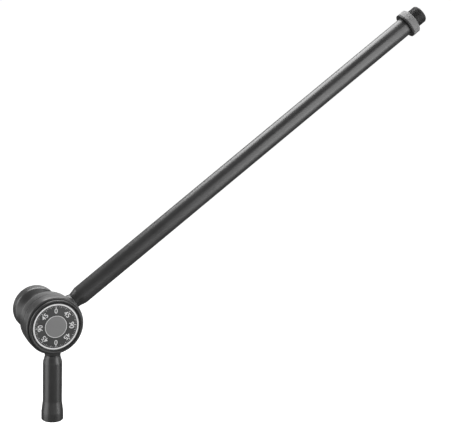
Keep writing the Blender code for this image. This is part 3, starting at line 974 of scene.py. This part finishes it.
@dataclass
class Stem(SubAssembly):
    """Short tube that screws onto the stand, with a tapped and flared mouth."""

    mouth_radius: float = THREAD.major + 0.00116
    mouth_length: float = 0.0071
    flare_length: float = 0.0097
    mouth_edge: float = 0.0009
    thread_start: float = 0.0008
    thread_relief: float = 0.0001
    tapped_depth: float = 0.0130
    runout: float = 0.0015
    neck_rounds: tuple[float, float] = (1.0, 0.7)

    def build(self) -> None:
        """Build the stem."""
        flare_end = self.mouth_length + self.flare_length
        outline = [
            Corner(THREAD.nut_bore, self.thread_start),
            Corner(THREAD.major + self.thread_relief, 0.0),
            Corner(self.mouth_radius, 0.0, self.mouth_edge),
            Corner(self.mouth_radius, self.mouth_length, self.flare_length),
            Corner(TUBE.outer, flare_end, self.flare_length),
            *TUBE.necked(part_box("stem_tube")[1].z, 1.0, self.neck_rounds),
            Corner(TUBE.bore, self.tapped_depth + self.runout),
            Corner(THREAD.nut_bore, self.tapped_depth),
        ]
        shape = screw_surface(THREAD.nut_bore, THREAD.major, self.thread_start, self.tapped_depth,
                              steps=72)
        grow_rim(shape, self.thread_start, outline_stations(outline, segments=8))
        bmesh.ops.remove_doubles(shape, verts=shape.verts[:], dist=TOUCH * 2)
        self.add("stem", shape, COAT, Body.STEM, "stem_tube")


@dataclass(frozen=True)
class Drum:
    """Sizes that both halves of the clutch share."""

    radius: float = 0.0246
    rear_radius: float = 0.0233
    taper_start: float = 0.0100
    front_level: float = 0.0015
    front_face: float = 0.0117
    rear_face: float = 0.0123
    rear_level: float = 0.0250
    recess_radius: float = 0.0231
    recess_floor: float = 0.0030
    groove_outer: float = 0.0223
    groove_inner: float = 0.0120
    boss_radius: float = 0.00675
    boss_reach: float = 0.0259
    spigot_radius: float = 0.00505
    spigot_reach: float = 0.0362

    def side_radius(self, depth: float) -> float:
        """Return the radius of the tapered side at a depth."""
        share = (depth - self.taper_start) / (self.rear_level - self.taper_start)
        return self.radius + (self.rear_radius - self.radius) * share


DRUM = Drum()


@dataclass
class Casting(SubAssembly):
    """One half of the clutch, with the boss that a tube butts on."""

    boss_side: Vector = field(default_factory=lambda: Vector((0.0, 0.0, -1.0)))
    boss_depth: float = 0.0080
    boss_root: float = 0.0233
    boss_flare: float = 0.0004
    boss_edge: float = 0.00045
    flare_round: float = 0.0006
    step_reach: float = 0.0007
    step_round: float = 0.0008
    spigot_edge: float = 0.0005

    def drum_shape(self) -> Shape:
        """Return the turned drum."""
        raise NotImplementedError

    def sweep(self) -> tuple[float, float]:
        """Return the depths between which the other half turns."""
        raise NotImplementedError

    def boss(self) -> bpy.types.Object:
        """Turn the boss and its spigot, to be joined to the drum.

        Returns:
            The tool's object.
        """
        shape = turned([
            Corner(0.0, self.boss_root),
            Corner(DRUM.boss_radius + self.boss_flare * 2, self.boss_root),
            Corner(DRUM.boss_radius + self.boss_flare, DRUM.radius - FINE_EDGE, self.flare_round),
            Corner(DRUM.boss_radius, DRUM.boss_reach - self.step_reach, self.step_round),
            Corner(DRUM.boss_radius, DRUM.boss_reach, self.boss_edge),
            Corner(DRUM.spigot_radius, DRUM.boss_reach),
            Corner(DRUM.spigot_radius, DRUM.spigot_reach, self.spigot_edge),
            Corner(0.0, DRUM.spigot_reach),
        ], steps=96, segments=4)
        centre = self.datum.place @ Vector((0.0, 0.0, self.boss_depth))
        return place_shape("boss", shape, Datum.along(centre, self.boss_side, Vector((0.0, 1.0, 0.0))))

    def cleared(self) -> bpy.types.Object:
        """Fill the space that the other half sweeps, to be cut away.

        Returns:
            The tool's object.
        """
        low, high = self.sweep()
        reach = DRUM.radius + REST_GAP
        corners = [Corner(0.0, low), Corner(reach, low), Corner(reach, high), Corner(0.0, high)]
        return place_shape("swept", turned(corners), self.datum)

    def cuts(self) -> list[tuple[str, bpy.types.Object]]:
        """Return further tools with their operations."""
        return []

    def build_half(self, name: str, body: Body, node: str) -> None:
        """Build the half and dress it.

        Args:
            name: Name of the piece.
            body: Body that it moves with.
            node: Node that it stands for.
        """
        piece = place_shape(name, self.drum_shape(), self.datum)
        combine(piece, [("UNION", self.boss()), ("DIFFERENCE", self.cleared()), *self.cuts()])
        self.dress(piece, CAST, body, node)


@dataclass
class FrontHalf(Casting):
    """Front half of the clutch, which stands on the stem."""

    lip_round: float = 0.0013
    taper_round: float = 0.0100
    groove_floor: float = 0.01015
    bolt_hole: float = 0.0043
    pocket_flats: float = 0.0136
    pocket_floor: float = 0.0086

    def drum_shape(self) -> Shape:
        """Return the turned front drum."""
        face = DRUM.front_face
        return turned([
            Corner(self.bolt_hole, DRUM.recess_floor),
            Corner(DRUM.recess_radius, DRUM.recess_floor),
            Corner(DRUM.recess_radius, DRUM.front_level, FINE_EDGE),
            Corner(DRUM.radius, DRUM.front_level, self.lip_round),
            Corner(DRUM.radius, DRUM.taper_start, self.taper_round),
            Corner(DRUM.side_radius(face), face, BROKEN_EDGE),
            Corner(DRUM.groove_outer, face, BROKEN_EDGE),
            Corner(DRUM.groove_outer, self.groove_floor),
            Corner(DRUM.groove_inner, self.groove_floor),
            Corner(DRUM.groove_inner, face, BROKEN_EDGE),
            Corner(self.bolt_hole, face, BROKEN_EDGE),
        ], closed=True, steps=160, segments=5)

    def sweep(self) -> tuple[float, float]:
        """Return the depths of the rear half's drum."""
        return DRUM.front_face + FINE_EDGE, DRUM.rear_level

    def cuts(self) -> list[tuple[str, bpy.types.Object]]:
        """Shape the pocket of the bolt's head.

        Returns:
            The tool with its operation.
        """
        shape = bmesh.new()
        radius = self.pocket_flats / math.sqrt(3.0)
        bmesh.ops.create_cone(
            shape, cap_ends=True, segments=6, radius1=radius, radius2=radius,
            depth=self.pocket_floor * 2, matrix=Matrix.Rotation(math.pi / 6, 4, "Z"),
        )
        return [("DIFFERENCE", place_shape("pocket", shape, self.datum))]

    def build(self) -> None:
        """Build the front half."""
        self.build_half("clutch_front", Body.STEM, "front_casting")


@dataclass
class RearHalf(Casting):
    """Rear half of the clutch, which carries the arm."""

    boss_depth: float = 0.0162
    boss_root: float = 0.0225
    rear_round: float = 0.0040
    groove_floor: float = 0.01385
    sleeve_bore: float = 0.0063
    pocket_radius: float = 0.0111
    pocket_level: float = 0.0225
    pocket_edge: float = 0.0003
    sweep_start: float = -0.0010

    def drum_shape(self) -> Shape:
        """Return the turned rear drum."""
        face = DRUM.rear_face
        return turned([
            Corner(self.sleeve_bore, face, BROKEN_EDGE),
            Corner(DRUM.groove_inner, face, BROKEN_EDGE),
            Corner(DRUM.groove_inner, self.groove_floor),
            Corner(DRUM.groove_outer, self.groove_floor),
            Corner(DRUM.groove_outer, face, BROKEN_EDGE),
            Corner(DRUM.side_radius(face), face, BROKEN_EDGE),
            Corner(DRUM.rear_radius, DRUM.rear_level, self.rear_round),
            Corner(self.pocket_radius, DRUM.rear_level, self.pocket_edge),
            Corner(self.pocket_radius, self.pocket_level),
            Corner(self.sleeve_bore, self.pocket_level),
        ], closed=True, steps=160, segments=8)

    def sweep(self) -> tuple[float, float]:
        """Return the depths of the front half's drum."""
        return self.sweep_start, DRUM.rear_face - FINE_EDGE

    def build(self) -> None:
        """Build the rear half."""
        self.build_half("clutch_rear", Body.ARM, "rear_casting")


@dataclass(frozen=True)
class Stroke:
    """Mark of the dial's scale that stands at every few steps."""

    every: int
    length: float
    width: float


@dataclass
class Dial(SubAssembly):
    """Cap of the front half with its bead, and the printed scale let into it."""

    seat: float = 0.0008
    cap_back: float = 0.0027
    wall_radius: float = 0.0204
    moat_depth: float = 0.0004
    bead_inner: float = 0.0211
    cap_radius: float = 0.0228
    bead_rise: float = 0.0010
    bead_round: float = 0.0008
    disc_radius: float = 0.0201
    disc_thick: float = 0.0005
    disc_edge: float = 0.00012
    print_rise: float = 0.00002
    print_thick: float = 0.00005
    rings: tuple[tuple[float, float], ...] = ((0.0183, 0.0195), (0.0090, 0.0094))
    scale_steps: int = 72
    strokes: tuple[Stroke, ...] = (
        Stroke(9, 0.0021, 0.00042), Stroke(3, 0.0013, 0.00024), Stroke(1, 0.0007, 0.00016),
    )
    stroke_end: float = 0.0176
    numbers: tuple[str, ...] = ("0", "45", "90", "45", "0", "45", "90", "45")
    number_radius: float = 0.0133
    type_size: float = 0.00588
    type_swell: float = 0.00004

    @property
    def print_height(self) -> float:
        """Whole thickness of the print, from its back in the disc to its face."""
        return self.print_thick + self.print_rise

    @property
    def print_level(self) -> float:
        """Depth of the middle of the print."""
        return (self.print_thick - self.print_rise) / 2

    def build_cap(self) -> None:
        """Build the cap."""
        shape = turned([
            Corner(0.0, self.seat),
            Corner(self.wall_radius, self.seat, FINE_EDGE),
            Corner(self.wall_radius, self.moat_depth, FINE_EDGE),
            Corner(self.bead_inner, self.moat_depth, BROKEN_EDGE),
            Corner(self.bead_inner, -self.bead_rise, self.bead_round),
            Corner(self.cap_radius, -self.bead_rise, self.bead_round),
            Corner(self.cap_radius, self.cap_back, BROKEN_EDGE),
            Corner(0.0, self.cap_back),
        ], steps=160)
        self.add("clutch_cap", shape, PLASTIC, Body.STEM, "front_cap")

    def build_disc(self) -> None:
        """Build the disc that carries the print."""
        shape = turned([
            Corner(0.0, 0.0),
            Corner(self.disc_radius, 0.0, self.disc_edge),
            Corner(self.disc_radius, self.disc_thick, FINE_EDGE),
            Corner(0.0, self.disc_thick),
        ], steps=160)
        self.add("dial_disc", shape, DIAL, Body.STEM, "dial_label")

    def take_mesh(self, shape: Shape, mesh: bpy.types.Mesh) -> None:
        """Move a mesh's form into a shape."""
        shape.from_mesh(mesh)
        bpy.data.meshes.remove(mesh)

    def ink_ring(self, inner: float, outer: float) -> bpy.types.Mesh:
        """Make a printed ring.

        Args:
            inner: Its inner radius.
            outer: Its outer radius.

        Returns:
            The ring's mesh in the datum's frame.
        """
        front, back = -self.print_rise, self.print_thick
        ring = turned([
            Corner(inner, front), Corner(outer, front), Corner(outer, back), Corner(inner, back),
        ], closed=True, steps=160)
        mesh = bpy.data.meshes.new("ring")
        ring.to_mesh(mesh)
        ring.free()
        return mesh

    def build_scale(self) -> None:
        """Build the rings and strokes of the scale."""
        shape = bmesh.new()
        for inner, outer in self.rings:
            self.take_mesh(shape, self.ink_ring(inner, outer))
        for step in range(self.scale_steps):
            stroke = next(stroke for stroke in self.strokes if step % stroke.every == 0)
            turn = Matrix.Rotation(math.tau * step / self.scale_steps, 4, "Z")
            middle = self.stroke_end - stroke.length / 2
            size = Matrix.Diagonal((stroke.length, stroke.width, self.print_height, 1.0))
            spot = Matrix.Translation((middle, 0.0, self.print_level))
            bmesh.ops.create_cube(shape, size=1.0, matrix=turn @ spot @ size)
        self.add("dial_scale", shape, INK, Body.STEM)

    def number(self, text: str, angle: float) -> bpy.types.Mesh:
        """Return one number as a thin mesh in the datum's frame.

        Args:
            text: The number.
            angle: Its place round the dial, clockwise from the top.

        Returns:
            The mesh, with its foot towards the centre.
        """
        curve = bpy.data.curves.new("number", "FONT")
        curve.body = text
        curve.size = self.type_size
        curve.align_x = "CENTER"
        curve.align_y = "CENTER"
        curve.extrude = self.print_height / 2
        curve.offset = self.type_swell
        letters = bpy.data.objects.new("number", curve)
        bpy.context.collection.objects.link(letters)
        bpy.context.view_layer.update()
        held = bpy.context.evaluated_depsgraph_get()
        mesh = bpy.data.meshes.new_from_object(letters.evaluated_get(held))
        bpy.data.objects.remove(letters, do_unlink=True)
        facing = Matrix.Translation((0.0, 0.0, self.print_level)) @ Matrix.Rotation(math.pi, 4, "X")
        raised = Matrix.Translation((0.0, self.number_radius, 0.0))
        mesh.transform(facing @ Matrix.Rotation(-angle, 4, "Z") @ raised)
        return mesh

    def build_numbers(self) -> None:
        """Build the numbers, one every 45 degrees."""
        shape = bmesh.new()
        for step, text in enumerate(self.numbers):
            self.take_mesh(shape, self.number(text, math.tau * step / len(self.numbers)))
        bmesh.ops.remove_doubles(shape, verts=shape.verts[:], dist=WELD)
        self.add("dial_numbers", shape, INK, Body.STEM)

    def build(self) -> None:
        """Build the cap, the disc and its print."""
        self.build_cap()
        self.build_disc()
        self.build_scale()
        self.build_numbers()


@dataclass
class Knob(SubAssembly):
    """Clamping knob with a waist, a rounded rim and a closed back."""

    skirt: float = 0.0256
    skirt_edge: float = 0.0005
    pocket_radius: float = 0.0111
    pocket_edge: float = 0.0003
    insert_front: float = 0.0287
    waist_radius: float = 0.0129
    neck_back: float = 0.0400
    flare_round: float = 0.0110
    rim_radius: float = 0.0192
    rim_front: float = 0.0465
    rim_back: float = 0.0563
    rim_round: float = 0.0026
    dish_radius: float = 0.0136
    dish_edge: float = 0.0008
    cap_seat: float = 0.0532
    cap_front: float = 0.0535
    cap_back: float = 0.0551
    cap_radius: float = 0.0133
    cap_edge: float = 0.0005
    bore: float = 0.0073
    flange_radius: float = 0.0098
    flange_seat: float = 0.0305

    def build(self) -> None:
        """Build the knob and the disc in its back."""
        body = turned([
            Corner(self.bore, self.flange_seat),
            Corner(self.flange_radius, self.flange_seat),
            Corner(self.flange_radius, self.insert_front),
            Corner(self.pocket_radius, self.insert_front),
            Corner(self.pocket_radius, self.skirt, self.pocket_edge),
            Corner(self.waist_radius, self.skirt, self.skirt_edge),
            Corner(self.waist_radius, self.neck_back, self.flare_round),
            Corner(self.rim_radius, self.rim_front, self.rim_round),
            Corner(self.rim_radius, self.rim_back, self.rim_round),
            Corner(self.dish_radius, self.rim_back, self.dish_edge),
            Corner(self.dish_radius, self.cap_seat),
            Corner(self.bore, self.cap_seat),
        ], closed=True, steps=144, segments=10)
        self.add("knob_body", body, CAST, Body.KNOB, "knob")
        disc = turned([
            Corner(0.0, self.cap_front),
            Corner(self.cap_radius, self.cap_front, BROKEN_EDGE),
            Corner(self.cap_radius, self.cap_back, self.cap_edge),
            Corner(0.0, self.cap_back),
        ], steps=144)
        self.add("knob_disc", disc, PLASTIC, Body.KNOB, "knob_cap")


@dataclass
class Arm(SubAssembly):
    """Long tube with a swaged neck, and the stud in its far end."""

    tube_end: float = 0.3966
    neck_rounds: tuple[float, float] = (1.4, 1.2)
    flange_radius: float = 0.01115
    flange_front: float = 0.3969
    flange_back: float = 0.3975
    flange_edge: float = 0.00015
    stud_end: float = 0.4152
    stud_chamfer: float = 0.0014
    chamfer_slope: float = 0.8
    thread_gap: float = 0.0006
    thread_stop: float = 0.0002
    root_relief: float = 0.0002
    crown_width: float = 0.0006
    crown_inset: float = 0.0020
    plug_start: float = 0.3729
    plug_edge: float = 0.0008

    def build_tube(self) -> None:
        """Build the tube."""
        shape = turned([
            *TUBE.necked(CLUTCH_REACH, -1.0, self.neck_rounds),
            Corner(TUBE.bore, self.tube_end),
            Corner(TUBE.outer, self.tube_end, BROKEN_EDGE),
        ], closed=True, segments=8)
        self.add("arm", shape, COAT, Body.ARM, "arm_tube")

    def build_stud(self) -> None:
        """Build the plug, its flange and the threaded stud."""
        low, high = self.flange_back + self.thread_gap, self.stud_end - self.thread_stop
        cone = self.stud_end - self.stud_chamfer
        shape = screw_surface(THREAD.root, THREAD.major, low, high, steps=96)
        for vert in shape.verts:
            limit = THREAD.major - max(0.0, vert.co.z - cone) * self.chamfer_slope
            if math.hypot(vert.co.x, vert.co.y) > limit:
                set_radius(vert, limit)
        crown = (THREAD.root - self.crown_width, THREAD.root - self.crown_inset, 0.0)
        grow_rim(shape, high, [Corner(radius, self.stud_end) for radius in crown])
        plug = TUBE.bore - REST_GAP
        outline = [
            Corner(THREAD.root, low),
            Corner(THREAD.root - self.root_relief, self.flange_back),
            Corner(self.flange_radius, self.flange_back, self.flange_edge),
            Corner(self.flange_radius, self.flange_front, self.flange_edge),
            Corner(plug, self.flange_front),
            Corner(plug, self.plug_start, self.plug_edge),
            Corner(0.0, self.plug_start),
        ]
        grow_rim(shape, low, outline_stations(outline, segments=5))
        self.add("stud", shape, OXIDE, Body.ARM, "stud_plug")

    def build(self) -> None:
        """Build the arm's pieces."""
        self.build_tube()
        self.build_stud()


@dataclass
class LockRing(SubAssembly):
    """Knurled ring nut on the stud."""

    radius: float = 0.01115
    start: float = 0.3978
    end: float = 0.4047
    bore: float = 0.00806
    bore_chamfer: float = 0.0005
    chamfer: float = 0.0007
    rows: int = 7
    diamonds: int = 96
    fine: int = 5
    knurl_depth: float = 0.00011
    knurl_steepness: float = 2.2

    @property
    def knurled(self) -> tuple[float, float]:
        """Levels between which the rim is knurled."""
        return self.start + self.chamfer, self.end - self.chamfer

    def outline(self) -> list[Corner]:
        """Draw the ring's outline, with fine stations along the knurl.

        Returns:
            The corners.
        """
        low, high = self.knurled
        count = self.rows * self.fine
        inner, face = self.bore + self.bore_chamfer, self.radius - self.chamfer
        return [
            Corner(self.bore, self.start + self.bore_chamfer),
            Corner(inner, self.start),
            Corner(face, self.start, FINE_EDGE),
            *(Corner(self.radius, low + (high - low) * step / count) for step in range(count + 1)),
            Corner(face, self.end, FINE_EDGE),
            Corner(inner, self.end),
            Corner(self.bore, self.end - self.bore_chamfer),
        ]

    def knurl(self, shape: Shape) -> None:
        """Press crossed grooves into the rim.

        Args:
            shape: The turned ring, changed in place.
        """
        low, high = self.knurled
        for vert in shape.verts:
            radius = math.hypot(vert.co.x, vert.co.y)
            if radius < self.radius - TOUCH:
                continue
            turn = math.atan2(vert.co.y, vert.co.x) / math.tau * self.diamonds
            row = (vert.co.z - low) / (high - low) * self.rows
            across = [abs((turn + way * row) % 1.0 - 0.5) * 2.0 for way in (0.5, -0.5)]
            crest = min(1.0, (1.0 - max(across)) * self.knurl_steepness)
            set_radius(vert, radius - self.knurl_depth * (1.0 - crest))

    def build(self) -> None:
        """Build the ring."""
        shape = turned(self.outline(), closed=True, steps=self.diamonds * self.fine, segments=2)
        self.knurl(shape)
        self.add("knurled_ring", shape, ZINC, Body.RING, "lock_ring")


@dataclass
class Hardware(SubAssembly):
    """Pieces inside the clutch and the knob, which keep their packed form."""

    finishes: dict[str, Finish] = field(default_factory=lambda: {
        "clutch_bolt": STEEL,
        "backing_washer": STEEL,
        "thrust_washer": STEEL,
        "front_friction_disc": FIBRE,
        "rear_friction_disc": FIBRE,
        "separator_spring": SPRING,
        "disc_spring": SPRING,
        "pivot_sleeve": BRASS,
        "knob_insert": BRASS,
        "nylon_washer": NYLON,
    })

    def build(self) -> None:
        """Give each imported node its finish."""
        made = {}
        for name, finish in self.finishes.items():
            if finish.label not in made:
                made[finish.label] = finish.make(self.datum)
            for place in frame["nodes"][name].material_slots:
                place.material = made[finish.label]
            LOG.info("%s: packed form with %s", name, finish.label)


@dataclass(frozen=True)
class SoftBox:
    """Rectangular light that faces the object."""

    name: str
    aim: tuple[float, float, float]
    width: float
    height: float
    level: float
    roll: float = 0.0
    distance: float = 0.9

    def hang(self, centre: Vector) -> None:
        """Hang the light.

        Args:
            centre: Point that it faces.
        """
        data = bpy.data.lights.new(self.name, "AREA")
        data.shape = "RECTANGLE"
        data.size, data.size_y = self.width, self.height
        data.energy = self.level * math.pi * self.width * self.height
        light = bpy.data.objects.new(self.name, data)
        aim = Vector(self.aim).normalized()
        turn = aim.to_track_quat("Z", "Y").to_matrix().to_4x4()
        roll = Matrix.Rotation(math.radians(self.roll), 4, "Z")
        light.matrix_world = Matrix.Translation(centre + aim * self.distance) @ turn @ roll
        bpy.context.collection.objects.link(light)


@dataclass(frozen=True)
class Studio:
    """Pale floor, soft light, and a dim room and a card that only reflections see."""

    floor_level: float = -0.36
    floor_size: float = 30.0
    floor_greys: tuple[float, float] = (0.88, 0.90)
    floor_glow: float = 0.75
    sky_level: float = 0.30
    room_radius: float = 8.0
    room_level: float = 0.12
    room_opening: float = math.radians(37.0)
    backdrop_way: tuple[float, float, float] = (0.4115, 0.8710, -0.2684)
    middle: tuple[float, float, float] = (0.15, 0.0, 0.18)
    boxes: tuple[SoftBox, ...] = (
        SoftBox("top_box", (0.17, 0.49, 0.86), 1.1, 0.75, 5.6),
        SoftBox("front_box", (0.475, -0.853, 0.216), 1.2, 0.55, 2.6, -57.0),
        SoftBox("left_box", (-0.96, 0.02, -0.20), 0.62, 0.70, 1.5),
        SoftBox("edge_box", (-0.86, 0.47, 0.20), 0.34, 0.38, 4.8),
        SoftBox("right_box", (0.66, -0.60, -0.45), 0.45, 0.45, 1.1),
    )
    card_centre: tuple[float, float, float] = (0.3, 0.2, -0.34)
    card_size: tuple[float, float] = (4.4, 4.6)
    card_level: float = 0.08

    def seen(self, graph: Graph) -> Socket:
        """Make a mask of the rays that show the background.

        Args:
            graph: Graph of a material or of the world.

        Returns:
            The mask's socket.
        """
        path = graph.add("LightPath").outputs
        shown = graph.math("MAXIMUM", path["Is Camera Ray"], path["Is Glossy Ray"])
        return graph.math("MAXIMUM", shown, path["Is Transmission Ray"])

    def build_world(self) -> None:
        """Make the background white and the fill light soft."""
        world = bpy.data.worlds.new("studio")
        world.use_nodes = True
        bpy.context.scene.world = world
        graph = Graph(world.node_tree)
        strength = graph.spread(self.seen(graph), 0.0, 1.0, self.sky_level, 1.0)
        graph.feed(world.node_tree.nodes["Background"], Color=shade(1.0), Strength=strength)

    def matt(self, name: str) -> tuple:
        """Start a matt material that can glow.

        Args:
            name: Name of the material.

        Returns:
            The material, its graph and its Principled node.
        """
        material = bpy.data.materials.new(name)
        material.use_nodes = True
        graph = Graph(material.node_tree)
        shader = material.node_tree.nodes["Principled BSDF"]
        graph.feed(shader, Roughness=1.0, Specular_IOR_Level=0.0, Emission_Color=shade(1.0))
        return material, graph, shader

    def stand(self, name: str, shape: Shape, material: bpy.types.Material) -> bpy.types.Object:
        """Put a shape in the studio as part of the stage.

        Args:
            name: Name of the object.
            shape: The shape in its place.
            material: Its material.

        Returns:
            The object.
        """
        thing = link_shape(name, shape)
        thing.data.materials.append(material)
        return thing

    def stand_dim(self, name: str, shape: Shape, level: float) -> None:
        """Put a dim thing in the studio that only reflections see.

        Args:
            name: Name of the object.
            shape: The shape in its place.
            level: Strength of its glow.
        """
        material, graph, shader = self.matt(name)
        graph.feed(shader, Base_Color=shade(0.0), Emission_Strength=level)
        thing = self.stand(name, shape, material)
        for ray in ("camera", "diffuse", "transmission", "volume_scatter", "shadow"):
            setattr(thing, f"visible_{ray}", False)

    def build_floor(self) -> None:
        """Lay the floor, faintly mottled."""
        shape = bmesh.new()
        bmesh.ops.create_grid(shape, x_segments=8, y_segments=8, size=self.floor_size / 2,
                              matrix=Matrix.Translation((0.0, 0.0, self.floor_level)))
        material, graph, shader = self.matt("pale_floor")
        grain = graph.feed(graph.add("TexNoise"), Scale=8.0, Detail=3.0)
        greys = [shade(grey) for grey in self.floor_greys]
        glow = graph.math("MULTIPLY", self.seen(graph), self.floor_glow)
        graph.feed(shader, Base_Color=graph.blend(grain.outputs["Fac"], *greys), Emission_Strength=glow)
        self.stand("floor", shape, material)

    def build_room(self) -> None:
        """Close the room round the object, open towards the backdrop."""
        shape = bmesh.new()
        bmesh.ops.create_icosphere(shape, subdivisions=5, radius=self.room_radius)
        way = Vector(self.backdrop_way).normalized()
        open_part = [
            face for face in shape.faces
            if face.calc_center_median().normalized().dot(way) > math.cos(self.room_opening)
        ]
        bmesh.ops.delete(shape, geom=open_part, context="FACES")
        self.stand_dim("room", shape, self.room_level)

    def build_card(self) -> None:
        """Lay the card under the object."""
        shape = bmesh.new()
        place = Matrix.Translation(self.card_centre) @ Matrix.Diagonal((*self.card_size, 1.0, 1.0))
        bmesh.ops.create_grid(shape, x_segments=1, y_segments=1, size=0.5, matrix=place)
        self.stand_dim("low_card", shape, self.card_level)

    def build(self) -> None:
        """Build the studio."""
        self.build_world()
        self.build_floor()
        self.build_room()
        self.build_card()
        for box in self.boxes:
            box.hang(Vector(self.middle))


@dataclass(frozen=True)
class ViewCamera:
    """Camera at the photograph's angle."""

    azimuth: float = math.radians(-25.29)
    elevation: float = math.radians(15.57)
    roll: float = math.radians(1.91)
    distance: float = 1.399
    across: float = 0.13808
    rise: float = 0.09028
    lens: float = 137.07
    far: float = 100.0
    target: tuple[float, float, float] = (0.0, -0.008, 0.0835)

    def build(self) -> None:
        """Place the camera and make it the scene's."""
        level = math.cos(self.elevation)
        back = Vector((math.sin(self.azimuth) * level, -math.cos(self.azimuth) * level,
                       math.sin(self.elevation)))
        flat = Vector((math.cos(self.azimuth), math.sin(self.azimuth), 0.0))
        right = flat * math.cos(self.roll) + back.cross(flat) * math.sin(self.roll)
        up = back.cross(right)
        spot = Vector(self.target) + back * self.distance + right * self.across + up * self.rise
        data = bpy.data.cameras.new("view")
        data.lens = self.lens
        data.clip_end = self.far
        data.dof.use_dof = False
        camera = bpy.data.objects.new("view", data)
        camera.matrix_world = Matrix.Translation(spot) @ Matrix((right, up, back)).transposed().to_4x4()
        bpy.context.collection.objects.link(camera)
        bpy.context.scene.camera = camera


def main() -> None:
    """Build the object, the studio and the camera."""
    logging.basicConfig(level=logging.INFO, format="%(name)s: %(message)s")
    clutch, arm = clutch_datum(), arm_datum()
    Stem(stem_datum()).build()
    FrontHalf(clutch).build()
    Dial(clutch).build()
    RearHalf(clutch, boss_side=arm.place.to_3x3() @ Vector((0.0, 0.0, 1.0))).build()
    Arm(arm).build()
    LockRing(arm).build()
    Knob(clutch).build()
    Hardware(clutch).build()
    Studio().build()
    ViewCamera().build()
    bpy.context.scene.view_settings.view_transform = "Standard"


if __name__ == "__main__":
    main()
